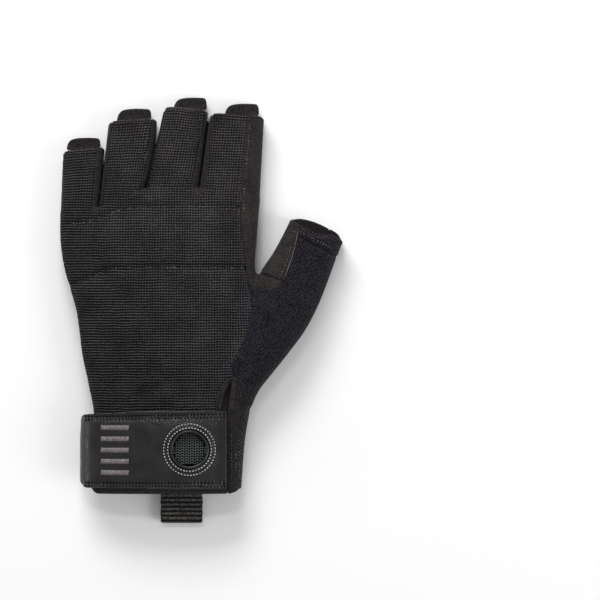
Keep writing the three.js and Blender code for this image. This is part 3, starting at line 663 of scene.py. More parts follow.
# Stitched channels and folds
knuckle_row = soften([[-46, 53], [-36, 53.6], [-24, 59], [-13, 61.6], [12, 61.8], [41, 61.6]])
pad_row = soften([[-43, 23], [-36, 25.5], [-27, 30], [-18, 31.3], [10, 31.4], [43, 31]])
palm_rows = [soften(line) for line in [
    [[-42.7, 39.7], [-39.2, 45.8], [-31.3, 48.4], [-18.5, 48.8], [14, 49.7]],
    [[-32.3, 31.1], [-31.3, 34.5], [-20.5, 38], [-3.8, 39.3], [11, 39.7]],
    [[-18.5, 24.1], [-3.8, 27.6], [14, 32.8]],
    [[-18.5, 21.5], [0, 20.8], [25.8, 20.7]],
    [[-23.5, 9.4], [-4, 10.6], [15.9, 11.2]],
    [[39.6, 23.3], [35.7, 12.5], [29.7, 1.6], [22.8, -6.5], [10, -26.5], [5.1, -29]],
    [[-34.3, -14.8], [-3.8, -15.6], [10, -1.3], [14, 9]],
    [[-31.3, -28.2], [5.1, -29]],
]]


def hollow(distance, depth, width):
    return -depth * np.exp(-((distance / width) ** 2))


def mound(x, y, height, middle, size):
    """A smooth rise, by its height, its middle and its half widths across and along."""
    return height * np.exp(-(((x - middle[0]) / size[0]) ** 2) - ((y - middle[1]) / size[1]) ** 2)


def back_relief(points):
    """Quilted channels over the knuckles and soft diagonal folds above the strap."""
    x, y, _ = points.T
    slant = -0.46 * x + 0.89 * y
    relief = hollow(line_distance(points, knuckle_row), 1.1, 1.7) + hollow(line_distance(points, pad_row), 1.35, 1.9)
    relief += mound(x, y, 1.5, (5, 47), (36, 8.5))
    for wave, height, middle, size in [
            (slant / 1.75 + 0.4, 0.6, (-2, -27), (20, 11)), (slant / 2.6 + 2, 0.4, (14, -12), (16, 14)),
            (y / 4.2 + x / 19, 0.3, (-30, 2), (12, 30))]:
        relief += np.sin(wave) * mound(x, y, height, middle, size)
    for i in range(4):
        here = (x > root_x[i] - 3) & (x < root_x[i + 1] + 9)
        relief += np.where(here, hollow(y - tip_line(i, x) + 3.2, 0.22, 0.7), 0)
    return relief


def pressed(distance, depth):
    """A flat recess inside an outline, with a soft edge."""
    return -depth * np.clip(0.5 - distance / 1.4, 0, 1)


patch_line = [[crotch_point[0] - 4 + a * patch_width, crotch_point[1] - 3 + b * patch_height] for a, b in [
    (-0.04, 0), (-0.16, -0.02), (-0.5, 0.05), (-0.8, 0.14), (-0.97, 0.28), (-1, 0.42), (-0.9, 0.56), (-0.62, 0.7),
    (-0.3, 0.85), (-0.04, 1)]]
patch_line = soften(patch_line) + [patch_line[0]]
thumb_creases = [soften([list(on_thumb(*start)), list(on_thumb(*end))]) for start, end in [
    ((-17, -32), (-4, -30)), ((-17, -35), (0, -40)), ((-16, -29), (-6, -21)), ((-18, -38), (-2, -52))]]
crotch_line = soften(across_along((-0.54, -0.345), (-0.3, -0.335), (-0.117, -0.321)))


def crotch_groove(points):
    """The deep crease where the thumb's leather meets the index finger's side leather, on the upper side."""
    return hollow(line_distance(points, crotch_line), 1.1, 0.9) * np.clip((points[:, 2] - 4) / 3, 0, 1)


def palm_relief(points):
    """Sewn lines, creases at the thumb's crotch, a soft fold above the cuff and the patch's recess."""
    x, y, z = points.T
    relief = sum(hollow(line_distance(points, line), 0.35, 1.1) for line in palm_rows)
    relief += sum(hollow(line_distance(points, line), 0.7, 1.3) for line in thumb_creases)
    relief += hollow(y - cuff_top - 4.5 - 0.05 * x, 0.8, 2.0) + hollow(y - cuff_top, 0.6, 1.2)
    relief += pressed(outline_distance(points, patch_line), 0.8)
    for i in range(4):
        past, here = y - tip_line(i, x), x > root_x[i]
        for inset in end_insets:
            relief += hollow(past + inset, 0.4, 0.8) * here * (x < root_x[i + 1] + 8)
        relief += hollow(past + 27 - 3 * np.sin(x / 5), 0.5, 1.6) * here * (x < root_x[i + 1])
    return np.where(z < 4, relief, crotch_groove(points))


def elastic_relief(points):
    """The elastic gives way under the webbing that is sewn to it, and under its own rows of stitches."""
    x, y, z = points.T
    aside = np.abs(x - webbing_middle) - webbing_width / 2
    rows = sum(hollow(y - level, 0.4, 0.9) for level in cuff_row_levels)
    return np.where(z < 4, np.minimum(pressed(np.maximum(aside, y - cuff_top + 2), webbing_thickness), rows), 0)


def binding_relief(points):
    """A rolled edge along the strap and the vent's slit, and a groove beside the outer seam."""
    x, y, _ = points.T
    roll = np.clip(1 - ((x - strap_right - 2.2) / 2.7) ** 2, 0, 1)
    groove = line_distance(points, soften(right_arch)) - 2.3
    return 0.5 + 0.9 * roll + hollow(groove, 0.4, 0.6) * (y > strap_high - 2)


def no_relief(points):
    return np.zeros(len(points))


def towel_relief(points):
    """Soft waves of the towelling towards the vent and the thumb's crotch, and the hem's sewn groove."""
    x, y, z = points.T
    across, reach = thumb_place(x, y)
    groove = hollow(reach + hem_width + 0.3, 0.9, 0.8) * np.clip((z - 6) / 4, 0.2, 1)
    return groove + 0.22 * np.sin(across / 3.1 + 0.03 * reach) * np.exp(-(((reach + 62) / 26) ** 2))


# Blender objects
def put_in_scene(name, data):
    """An object in the scene that shows a mesh, a lamp or a camera."""
    made = bpy.data.objects.new(name, data)
    bpy.context.scene.collection.objects.link(made)
    return made


def make_piece(name, points, faces, slot, material, nodes=(), cloth=None, inside=None):
    """A piece of the glove, with what it replaces, its place on the flat cloth and which of its points are inside,
    for painted shade.
    """
    mesh = bpy.data.meshes.new(name)
    mesh.from_pydata((np.asarray(points) * MM).tolist(), [], faces)
    mesh.polygons.foreach_set("use_smooth", np.ones(len(mesh.polygons), bool))
    for label, kind, key, values in [
            ("cloth", "FLOAT_VECTOR", "vector", cloth), ("inside", "FLOAT", "value", inside)]:
        if values is not None:
            attribute = mesh.attributes.new(label, kind, "POINT")
            attribute.data.foreach_set(key, np.asarray(values, np.float32).ravel())
    mesh.materials.append(materials[material])
    piece = put_in_scene(name, mesh)
    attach(piece, "root")
    if nodes:
        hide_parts(*nodes)
    return piece


def linear(code):
    """A colour written as sRGB hex, as the linear colour that a shader takes."""
    parts = [int(code[k:k + 2], 16) / 255 for k in (0, 2, 4)]
    return tuple(((c + 0.055) / 1.055) ** 2.4 if c > 0.04045 else c / 12.92 for c in parts) + (1,)


def add(tree, kind, inputs, **settings):
    """Adds a node with its settings, and sets or links its inputs."""
    made = tree.nodes.new("ShaderNode" + kind)
    for key, value in settings.items():
        setattr(made, key, value)
    for key, value in inputs.items():
        if isinstance(value, bpy.types.NodeSocket):
            tree.links.new(value, made.inputs[key])
        else:
            made.inputs[key].default_value = value
    return made


def calc(tree, operation, *values):
    """The result of one calculation on numbers."""
    return add(tree, "Math", dict(enumerate(values)), operation=operation).outputs[0]


def spread(tree, value, low, high, to_low=0.0, to_high=1.0):
    """A value from one range taken to another, and held inside it."""
    return add(tree, "MapRange", {"Value": value, "From Min": low, "From Max": high, "To Min": to_low,
                                  "To Max": to_high}).outputs[0]


def noise(tree, place, scale, detail=3.0, roughness=0.5):
    return add(tree, "TexNoise", {"Vector": place, "Scale": scale, "Detail": detail,
                                  "Roughness": roughness}).outputs["Fac"]


def waves(tree, place, pitch, axis):
    """Ribs along the cloth: 1 on each rib and -1 between two of them, with their pitch in mm."""
    turns = add(tree, "VectorMath", {0: place, "Scale": 2 * math.pi / pitch}, operation="SCALE").outputs[0]
    return calc(tree, "COSINE", add(tree, "SeparateXYZ", {0: turns}).outputs[axis])


def wobble(tree, place, scale, amount):
    """A place on the cloth shifted a little to and fro, as hand-laid cloth is never quite straight."""
    drift = add(tree, "TexNoise", {"Vector": place, "Scale": scale, "Detail": 2.0}).outputs["Color"]
    centred = add(tree, "VectorMath", {0: drift, 1: (0.5, 0.5, 0.5)}, operation="SUBTRACT").outputs[0]
    shift = add(tree, "VectorMath", {0: centred, 1: (amount, amount, 0)}, operation="MULTIPLY").outputs[0]
    return add(tree, "VectorMath", {0: place, 1: shift}).outputs[0]


def start_material(name, **shader):
    """A material with only its shader, whose plain numbers are set on its own sockets."""
    material = bpy.data.materials.new(name)
    material.use_nodes = True
    tree = material.node_tree
    for key, value in shader.items():
        tree.nodes["Principled BSDF"].inputs[key.replace("_", " ")].default_value = value
    return material, tree


def in_space(tree):
    """The place in space, in metres."""
    return add(tree, "TexCoord", {}).outputs["Object"]


def on_cloth(tree):
    """The place on the flat cloth, in mm."""
    return add(tree, "Attribute", {}, attribute_name="cloth").outputs["Vector"]


def cloth_measure(tree):
    """What the piece carries beside its place on the cloth."""
    return add(tree, "SeparateXYZ", {0: on_cloth(tree)}).outputs["Z"]


def finish_material(material, share, dark, light, height, depth_mm, roughness=None):
    """The shader's colour from dark to light by a share, its fine relief, and its roughness where that varies."""
    tree = material.node_tree
    inputs = tree.nodes["Principled BSDF"].inputs
    colour = add(tree, "Mix", {"Factor": share, "A": linear(dark), "B": linear(light)}, data_type="RGBA")
    bump = add(tree, "Bump", {"Height": height, "Distance": depth_mm * MM, "Strength": 1.0})
    tree.links.new(colour.outputs["Result"], inputs["Base Color"])
    tree.links.new(bump.outputs[0], inputs["Normal"])
    if roughness is not None:
        tree.links.new(roughness, inputs["Roughness"])
    return material


def woven_nylon():
    """Woven nylon: a raised grid of two-ply threads with a small dark hole in each mesh; threads catch the light."""
    material, tree = start_material("woven_nylon", Roughness=0.7, Specular_IOR_Level=0.08)
    cloth, plain = on_cloth(tree), cloth_measure(tree)
    uneven = wobble(tree, wobble(tree, cloth, 0.16, 1.1), 0.8, 0.3)
    pitch = 1.34  # from one thread to the next, in mm
    column, row = (waves(tree, uneven, pitch, axis) for axis in "XY")
    raised = calc(tree, "SMOOTH_MAX", calc(tree, "MULTIPLY_ADD", column, plain, -0.25), row, 0.3)
    # Raised threads lighter and the holes darker, lighter again where threads cross: painted highlight and shade.
    lit = calc(tree, "POWER", spread(tree, raised, -0.45, 0.85), 1.8)
    knuckle = calc(tree, "MULTIPLY_ADD", calc(tree, "MULTIPLY", column, row), 0.22, 0.85)
    worn = spread(tree, noise(tree, cloth, 1.7, 3.0, 0.6), 0.3, 0.72, 0.35, 1.35)
    wide = spread(tree, noise(tree, cloth, 0.07), 0.3, 0.7, 0.62, 1.25)
    for share in (knuckle, worn, wide):
        lit = calc(tree, "MULTIPLY", lit, share)
    return finish_material(material, lit, "040304", "504d50", raised, 0.26)


def microfibre_leather(name, dark, light):
    """Microfibre leather: matt, short nap, slightly brown black, with a fine pebbled face; its inner side is darkened
    as painted shade for the glove's dark inside.
    """
    material, tree = start_material(name, Roughness=0.88, Specular_IOR_Level=0.12, Sheen_Weight=0.04,
                                    Sheen_Roughness=0.5)
    where = in_space(tree)
    patches = calc(tree, "MULTIPLY", noise(tree, where, 1 / (6 * MM), 4.0, 0.6), 0.4)
    mixed = calc(tree, "MULTIPLY_ADD", noise(tree, where, 1 / (1.1 * MM), 4.0, 0.7), 1.2, patches)
    # Inner points darken the colour by 40 percent: painted shade inside the glove's mouths.
    inside = add(tree, "Attribute", {}, attribute_name="inside").outputs["Fac"]
    lit = calc(tree, "MULTIPLY", spread(tree, mixed, 0.5, 1.15), calc(tree, "MULTIPLY_ADD", inside, -0.4, 1.0))
    return finish_material(material, lit, dark, light, mixed, 0.3)


def terry_towelling():
    """Cotton terry: a pile of short loops, blue-black, soft and without gloss. Its loops stand in columns."""
    material, tree = start_material("terry_towelling", Roughness=0.97, Specular_IOR_Level=0.06, Sheen_Weight=0.08,
                                    Sheen_Roughness=0.6)
    where = in_space(tree)
    pitch = 1.25  # from one column of loops to the next, in mm
    column = waves(tree, wobble(tree, on_cloth(tree), 0.5, 1.0), pitch, "X")
    loops = add(tree, "TexVoronoi", {"Vector": where, "Scale": 1 / (0.72 * MM), "Randomness": 0.9})
    pile = calc(tree, "MULTIPLY_ADD", loops.outputs["Distance"], -0.9, noise(tree, where, 1 / (0.45 * MM), 3.0, 0.7))
    height = calc(tree, "MULTIPLY_ADD", column, 0.16, pile)
    tone = calc(tree, "MULTIPLY_ADD", noise(tree, where, 1 / (6 * MM)), 0.25, height)
    return finish_material(material, spread(tree, tone, 0.05, 0.65), "030205", "3a3642", height, 0.5)


def stretch_twill():
    """Stretch twill: fine diagonal ribs with dark grooves between them."""
    material, tree = start_material("stretch_twill", Roughness=0.7, Specular_IOR_Level=0.1)
    cloth = on_cloth(tree)
    turn = 2 * math.pi / 1.35  # the pitch of the diagonal ribs, in mm
    slant = add(tree, "VectorMath", {0: cloth, 1: (0.66 * turn, 0.75 * turn, 0)}, operation="DOT_PRODUCT")
    rib = calc(tree, "COSINE", slant.outputs["Value"])
    thread = spread(tree, noise(tree, cloth, 1.3, 3.0, 0.65), 0.35, 0.65, 0.2)
    tone = calc(tree, "MULTIPLY", spread(tree, rib, -0.6, 1.2), thread)
    return finish_material(material, tone, "040305", "625e66", rib, 0.16)


def smooth_leather():
    """Finished leather: near-black, semi-matt, broad soft highlights, a fine closed grain, drawn up at its seams."""
    material, tree = start_material("smooth_leather", Specular_IOR_Level=0.5, IOR=1.5)
    where = in_space(tree)
    grain = add(tree, "TexVoronoi", {"Vector": where, "Scale": 1 / (0.8 * MM)}, feature="SMOOTH_F1")
    crease = noise(tree, where, 1 / (7 * MM), 5.0, 0.55)
    drawn = calc(tree, "MULTIPLY_ADD", cloth_measure(tree), 2.6, 0.5)
    fine = calc(tree, "MULTIPLY", drawn, grain.outputs["Distance"])
    height = calc(tree, "MULTIPLY_ADD", crease, 2.0, fine)
    return finish_material(material, crease, "100e0f", "211e1f", height, 0.12,
                           spread(tree, crease, 0.35, 0.65, 0.28, 0.42))


def loop_cloth():
    """Loop cloth for the strap's hooks: short dense loops, dull black."""
    material, tree = start_material("loop_cloth", Roughness=0.95, Specular_IOR_Level=0.1)
    loops = add(tree, "TexVoronoi", {"Vector": in_space(tree), "Scale": 1 / (0.7 * MM)}).outputs["Distance"]
    return finish_material(material, loops, "454142", "1c1a1b", loops, -0.3)


def nylon_webbing():
    """Nylon webbing: hard cross ribs, which are in the piece, with fine warp threads over them, and painted shade
    between the ribs and painted highlight on their tops.
    """
    material, tree = start_material("nylon_webbing", Roughness=0.6, Specular_IOR_Level=0.1)
    cloth = on_cloth(tree)
    pitch = 0.8  # real warp threads are about 0.4 mm apart; drawn twice as coarse to show
    warp = waves(tree, cloth, pitch, "X")
    thread = spread(tree, noise(tree, cloth, 0.9, 3.0, 0.65), 0.35, 0.65, 0.15)
    # Near black between the ribs and grey on their tops: painted shade and highlight, with random thread tone.
    rib = calc(tree, "MULTIPLY", calc(tree, "POWER", cloth_measure(tree), 3.0), thread)
    return finish_material(material, rib, "030303", "736f6c", warp, 0.05)


def knit_mesh():
    """Open polyester knit, a slightly green grey-black with a dull face; its loops stand over a dark backing."""
    material, tree = start_material("knit_mesh", Roughness=0.8, Specular_IOR_Level=0.1)
    fibre = noise(tree, in_space(tree), 1 / (0.5 * MM))
    tone = calc(tree, "MULTIPLY", fibre, cloth_measure(tree))
    return finish_material(material, tone, "070807", "6f7872", fibre, 0.08)


def sewing_thread(name, dark, light, even=1.0, shine=0.4):
    """Polyester sewing thread: two plies twisted, with a slight shine. The less even, the rarer its light turns."""
    material, tree = start_material(name, Roughness=0.5, Specular_IOR_Level=shine)
    twist = noise(tree, in_space(tree), 1 / (0.9 * MM), 2.0)
    return finish_material(material, spread(tree, twist, 0.6 - 0.35 * even, 0.75), dark, light, twist, 0.05)


materials = dict(
    woven_nylon=woven_nylon(), synthetic_suede=microfibre_leather("microfibre_leather", "0b0a0a", "3d3938"),
    binding_leather=microfibre_leather("binding_leather", "0d0b0d", "302c2f"),
    tab_leather=microfibre_leather("tab_leather", "0d0b0d", "454043"), towelling=terry_towelling(),
    stretch_twill=stretch_twill(), smooth_leather=smooth_leather(), loop_cloth=loop_cloth(),
    webbing=nylon_webbing(), knit_mesh=knit_mesh(),
    # The paler edge leather is painted highlight on the thumb seam's ridge.
    highlit_edge=microfibre_leather("leather_edge_painted_highlight", "2b282a", "6d686b"),
    black_thread=sewing_thread("black_thread", "0a0909", "2f2c2d", 1.0, 0.1),
    # The strap's thread is near black and without shine: black thread, with painted shade for the dark stitch holes.
    strap_thread_and_hole_shade=sewing_thread("strap_thread_and_hole_shade", "010101", "0c0b0b", 0.3, 0.02),
    speckled_thread=sewing_thread("speckled_thread", "151314", "a09c99", 0.3, 0.15),
    brown_thread=sewing_thread("brown_thread", "2b2220", "6b5c56", 0.8, 0.15),
    grey_thread=sewing_thread("grey_thread", "252322", "aaa59f", 0.5, 0.15),
    pale_thread=sewing_thread("pale_thread", "8d8a89", "efecea"),
    mauve_thread=sewing_thread("mauve_thread", "4d464a", "978f93"),
)


# Sewn panels
net_points, net_faces = draw_net()
net_panels = panel_distances(net_points)
net_mouth = mouth_distance(net_points)


def sew(name, panel, nodes, slot="synthetic_suede", cloth_place=cloth_on_hand, relief=no_relief, depth=cloth_depth,
        material=None):
    """One panel of the glove, cut out of the outer surface along its seams and given its thickness."""
    points, faces = clip(net_points, net_faces, np.maximum(net_panels[panel], net_mouth) + seam_reach)
    points = settle(points)
    normals = unit(outward(points))
    shown = points + normals * relief(points)[:, None]
    solid, made = thicken(shown, faces, normals, depth)
    # The inner face, which microfibre leather darkens as painted shade.
    inside = np.arange(len(solid)) // len(shown) == 1
    return make_piece(name, solid, made, slot, material or slot, nodes, cloth_place(solid), inside)


def raised(amount):
    """A panel that stands out by an amount all over, but not below what the glove lies on."""
    return lambda points: amount * np.clip(points[:, 2] / 3, 0, 1)


back = sew("woven_back", "back", ["back_panel"], "woven_nylon", relief=back_relief)
palm = sew("palm_leather", "palm", ["palm_panel"], relief=palm_relief)
index_leather = sew("index_side_leather", "index_side", ["index_side_strip"], relief=crotch_groove)
walls = [sew("finger_wall_" + name, f"slot_{i}", ["side_wall_" + name])
         for i, name in enumerate(map("_".join, zip(finger_names, finger_names[1:])))]
towel = sew("thumb_terry", "towel", ["thumb_towelling"], "towelling", cloth_on_thumb, towel_relief)
hem = sew("thumb_hem_band", "hem", ["thumb_hem"], "towelling", cloth_on_thumb, raised(0.3), hem_depth)
elastic = sew("elastic_cuff", "elastic", ["cuff_elastic"], "stretch_twill", relief=elastic_relief)
base = sew("loop_cloth_base", "cuff_base", ["cuff_base"], "loop_cloth")
gusset, left_binding, right_binding = (
    sew(name, panel, [node], relief=relief, depth=depth, material="binding_leather")
    for name, panel, node, relief, depth in [
        ("vent_gusset_leather", "gusset", "vent_gusset", raised(-0.7), gusset_depth),
        ("vent_binding_leather_left", "left_binding", "vent_binding_left", raised(0.5), binding_depth),
        ("vent_binding_leather_right", "right_binding", "vent_binding_right", binding_relief, binding_depth)])


def flat_sheet(outline, height, spacing, inset):
    """A flat net inside an outline, with its edge set in by what a rounded edge adds."""
    low, high = np.min(outline, 0) - 1, np.max(outline, 0) + 1
    x, y = np.meshgrid(np.arange(low[0], high[0], spacing), np.arange(low[1], high[1], spacing))
    flat = np.stack([x.ravel(), y.ravel(), np.full(x.size, height)], 1)
    return clip(flat, grid_faces(*x.shape), outline_distance(flat, outline) + inset)


def straight(points, way=1.0):
    """Directions straight up, or down, for each of some points."""
    return np.tile([0.0, 0, way], (len(points), 1))


# Pull tabs
def pull_tab(i, name):
    """A leather tab that lies on the palm leather inside a finger's mouth, reaches out of it and curls up."""
    left, right = finger_edge(i, -1, 1), finger_edge(i, 1, 1)
    start, end = left + fingers[i]["tab"][0], right - fingers[i]["tab"][1]
    inner_start, inner_end = max(start, left + tab_clear), min(end, right - tab_clear)
    mouth = lambda x: tip_line(i, x) + 0.6
    centre, width = (start + end) / 2, end - start
    reach = mouth(centre) + tab_reach
    lean = fingers[i]["lean"] * 0.1
    shape = [[start, mouth(start)], [inner_start, mouth(inner_start)],
             [inner_start - lean, mouth(inner_start) - tab_root], [inner_end - lean, mouth(inner_end) - tab_root],
             [inner_end, mouth(inner_end)], [end, mouth(end)]]
    shape += soften([[start + a * width, reach + (b - 1) * tab_reach] for a, b in [
        (1, 0.2), (0.985, 0.75), (0.94, 0.98), (0.85, 1.02), (0.55, 1.05), (0.3, 1), (0.14, 0.86), (0.04, 0.5),
        (0, 0.0)]])
    points, faces = flat_sheet(shape, tab_level, 0.45, tab_thickness / 2)
    out = np.clip((points[:, 1] - mouth(points[:, 0])) / tab_reach, 0, 1)
    middle = (points[:, 0] - centre) / width
    points[:, 2] = tab_level + tab_curl * out**2 * (1 - 1.2 * middle**2)
    solid, made = thicken(points, faces, straight(points), tab_thickness)
    return make_piece("pull_tab_leather_" + name, solid, made, "synthetic_suede", "tab_leather", ["pull_tab_" + name])


# Closure strap
def wrist_section(x, y):
    """The wrist as the strap goes round it: the strap stands off at the side, more so at its upper edge."""
    left, right, top = along(hand_curves, (y - cuff_edge) / (root_line(x) - cuff_edge))
    return left - strap_bulge - 1.2 * np.clip((y + 66) / 26, 0, 1), right, top


def over_wrist(x, y, clear):
    """Height of a surface that lies clear of the back of the wrist."""
    left, right, top = wrist_section(x, y)
    share = np.abs(x - (left + right) / 2) / ((right - left) / 2 + clear)
    rise = (top + sink) / 2 + clear
    return (top - sink) / 2 + rise * np.maximum(1 - share**roundness, 0) ** (1 / roundness)


def strap_path(y):
    """The strap's section at a height on the wrist: from its thumb end over the back and down the side."""
    turn = np.linspace(0.15, 1.16, 700) * math.pi
    x = np.full(len(turn), wrist_offset)
    for _ in range(3):
        left, right, top = wrist_section(x, y)
        x = (left + right) / 2 + ((right - left) / 2 + strap_clear) * swing(np.cos(turn))
    z = (top - sink) / 2 + ((top + sink) / 2 + strap_clear) * swing(np.sin(turn))
    return np.stack([x, np.full(len(turn), y), z], 1)


def rounded_corner(x, y, first):
    return [[x + strap_corner * (1 + math.cos(a)), y + strap_corner * math.sin(a)]
            for a in np.linspace(first, first + math.pi / 2, 9)]


def from_eyelet(x, y):
    return np.hypot(x - eyelet_centre[0], y - eyelet_centre[1])


def strap_relief(points):
    """Sunk stitch rows along the edges, puckers between their stitches, a soft fold or two and the eyelet's swell."""
    x, y, _ = points.T
    relief = hollow(y - strap_row_low, 0.45, 1.3)
    relief += hollow(y - strap_row_high - strap_row_slope * (x - strap_right), 0.45, 1.3)
    pucker = 0.22 * np.clip((strap_right - 1.6 - x) / 1.5, 0, 1) * np.cos(2 * math.pi * x / strap_stitch)
    for level, slope in strap_row_levels:
        relief -= hollow(y - level - slope * (x - strap_right), pucker, 0.75)
    relief += mound(x, y, 0.5, (8, -49), (14, 4.5)) + mound(x, y, 0.3, (-21, -48), (6, 3.5))
    relief += 0.09 * np.maximum(x - strap_right + 5, 0)
    return relief - hollow(from_eyelet(x, y) - 10, 0.45, 2.4)


def crumple(points):
    """Where the leather is drawn up by its stitches: 0 where it lies smooth, 1 at the rows and the eyelet."""
    x, y, _ = points.T
    drawn = hollow(y - strap_row_high + 3, -1, 3.2) * np.clip((x + 32) / 30, 0, 1)
    drawn += hollow(y - strap_row_low - 1, -1, 2.0) * np.clip((x + 10) / 30, 0, 1)
    drawn += 0.7 * hollow(from_eyelet(x, y) - 16, -1, 4) * (x > eyelet_centre[0])
    return 0.6 * np.clip(drawn, 0, 1) * np.clip((strap_right - 3.5 - x) / 2, 0, 1)


# The strap's net, from its thumb end to a little past where it ends at the outer side of the wrist
net_columns, net_rows = 200, 84
thumb_half = 350  # the points of the strap's path that lie on the thumb's half of the wrist
strap_net = []
for level in np.linspace(strap_low - 1.9, strap_high + 1, net_rows):
    path = strap_path(level)
    run = run_along(path)
    start = np.interp(-(strap_right + 0.5), -path[:thumb_half, 0], run[:thumb_half])
    end = run[np.argmax((path[:, 2] < strap_end_height - 0.5) & (path[:, 0] < 0))]
    strap_net.append(at_run(np.linspace(start, end, net_columns), run, path))
strap_net = np.array(strap_net)
strap_normals = unit(np.cross(np.gradient(strap_net, axis=0), np.gradient(strap_net, axis=1))).reshape(-1, 3)
strap_net = strap_net.reshape(-1, 3)

# The side runs down steeply, so the outline's end lies a little outside it and only rounds its corners.
strap_outline = (rounded_corner(strap_left - 1.8, strap_high_left - strap_corner, math.pi / 2)
                 + rounded_corner(strap_left - 1.3, strap_low + strap_corner, math.pi)
                 + [[-20, strap_low - 0.2], [strap_right + 0.4, strap_low - 0.9],
                    [strap_right + 0.4, strap_high - 0.2], [-2, strap_high], [-14, strap_high - 0.3],
                    [-26, strap_high - 1.2]])
hole = np.where(strap_net[:, 2] > 12, eyelet_radius + eyelet_rim - 0.6 - from_eyelet(*strap_net.T[:2]), -far)
strap_value = np.maximum.reduce([outline_distance(strap_net, strap_outline), hole,
                                 strap_end_height - strap_net[:, 2]])
packed, strap_faces = clip(np.hstack([strap_net, strap_normals]), grid_faces(net_rows, net_columns),
                           strap_value + strap_thickness / 2)
strap_surface, strap_out = packed[:, :3], unit(packed[:, 3:])
strap_surface = strap_surface + strap_out * strap_relief(strap_surface)[:, None]
solid, made = thicken(strap_surface, strap_faces, strap_out, strap_thickness)
strap = make_piece("strap_leather", solid, made, "smooth_leather", "smooth_leather", ["closure_strap"],
                   np.column_stack([solid[:, :2], crumple(solid)]))


def ring_round_eyelet(profile, sides=96):
    """A ring turned round the eyelet from a closed profile of radius and height over the strap's face."""
    turn = np.linspace(0, 2 * math.pi, sides, endpoint=False)
    profile = np.array(profile)
    x = eyelet_centre[0] + profile[:, :1] * np.cos(turn)
    y = eyelet_centre[1] + profile[:, :1] * np.sin(turn)
    z = over_wrist(x, y, strap_clear) + profile[:, 1:]
    points = np.stack([x, y, z], -1).reshape(-1, 3)
    at = np.arange(len(points)).reshape(len(profile), sides)
    faces = np.stack([at, np.roll(at, -1, 0), np.roll(np.roll(at, -1, 0), -1, 1), np.roll(at, -1, 1)], -1)
    return points, faces.reshape(-1, 4)[:, ::-1].tolist()


turn = np.linspace(0, 2 * math.pi, 18, endpoint=False)
roll = np.stack([eyelet_radius + eyelet_rim / 2 + 0.3 + 0.75 * np.cos(turn), 0.05 + 0.65 * np.sin(turn)], 1)
roll[(roll[:, 0] < eyelet_radius + eyelet_rim / 2 + 0.2) & (roll[:, 1] < 0), 1] -= 1.4
rim = make_piece("eyelet_roll", *ring_round_eyelet(roll), "smooth_leather", "smooth_leather", ["eyelet_rim"])


# Webbing
def webbing(name, path, width, thickness, middle, pitch, rib, node):
    """A woven band along a path of y and z, with cross ribs on both faces and rounded edges."""
    run = run_along(path)
    place = np.linspace(0, run[-1], int(run[-1] / 0.28))
    y, z = at_run(place, run, path).T
    slope = unit(np.stack([np.gradient(y), np.gradient(z)], 1))
    columns = 27  # on each of its two faces
    across = np.concatenate([np.linspace(-1, 1, columns), np.linspace(1, -1, columns)])
    edge = np.repeat([1.0, -1.0], columns) * (1 - np.abs(across) ** 14) ** 0.5
    ridge = np.abs(np.cos(math.pi * place / pitch)) ** 0.7
    height = edge * (thickness / 2 - rib) + np.multiply.outer(rib * ridge, edge)
    wander = 0.12 * np.sin(place / 2.3) + 0.1 * np.sin(place / 0.9)
    x = middle + np.multiply.outer(width / 2 + wander - 0.25 + 0.25 * ridge, across)
    points = np.stack([x, y[:, None] + slope[:, 1:] * height, z[:, None] - slope[:, :1] * height], -1)
    # The third value is the rib's height, which the webbing's colour turns into painted shade and highlight.
    cloth = np.stack([x, *(np.repeat(values[:, None], x.shape[1], 1) for values in (place, ridge))], -1)
    return make_piece(name, points.reshape(-1, 3), tube_faces(*x.shape), "webbing", "webbing", [node],
                      cloth.reshape(-1, 3))


def folded_path(lower, upper, end, thickness, height, base):
    """Down the outside, round the fold and back inside, as y and z."""
    turn = np.linspace(-math.pi / 2, -3 * math.pi / 2, 14)
    radius = (height - thickness) / 2
    fold = [[end + height / 2 + radius * math.cos(a), base + height / 2 + radius * math.sin(a)] for a in turn]
    return [[lower, base + thickness / 2]] + fold + [[upper, base + height - thickness / 2]]


webbing("pull_loop_webbing",
        folded_path(cuff_top - 2.0, cuff_bottom + 7, cuff_bottom - webbing_reach, webbing_thickness, webbing_fold, 0),
        webbing_width, webbing_thickness, webbing_middle, webbing_pitch, webbing_rib, "pull_loop")
tape_path = folded_path(cuff_bottom + 6, cuff_bottom + 6, cuff_bottom - 6.5, tape_thickness, tape_fold, 1.7)
for side, middle, width in tapes:
    webbing("tape_loop_webbing_" + side, tape_path, width, tape_thickness, middle, tape_pitch, tape_rib,
            "tape_loop_" + side)

tabs = [pull_tab(i, name) for i, name in enumerate(finger_names)]

# Palm patch
points, faces = flat_sheet(patch_line, -0.02, 0.6, patch_thickness / 2)
patch_row = beside(patch_line[2:-3], -1.4)
points[:, 2] -= hollow(line_distance(points, patch_row.tolist()), 0.4, 0.9)
solid, made = thicken(points, [face[::-1] for face in faces], straight(points, -1), patch_thickness)
patch = make_piece("palm_patch_leather", solid, made, "synthetic_suede", "synthetic_suede", ["palm_patch"])


# Stitches
def lay(line, relief=no_relief, under=False):
    """A line seen from above, laid on the glove's back, or on its palm side: points and directions out."""
    flat = even_line(line, 0.5)
    inner = np.full(len(flat), 4.0 if under else 6.0)
    outer = np.full(len(flat), -3.0 if under else 27.0)
    held = glove_form(flat[:, 0], flat[:, 1], inner) < 0
    flat, inner, outer = flat[held], inner[held], outer[held]
    for _ in range(22):
        middle = (inner + outer) / 2
        inside = glove_form(flat[:, 0], flat[:, 1], middle) < 0
        inner, outer = np.where(inside, middle, inner), np.where(inside, outer, middle)
    points = np.column_stack([flat, inner])
    normals = unit(outward(points))
    return points + normals * relief(points)[:, None], normals


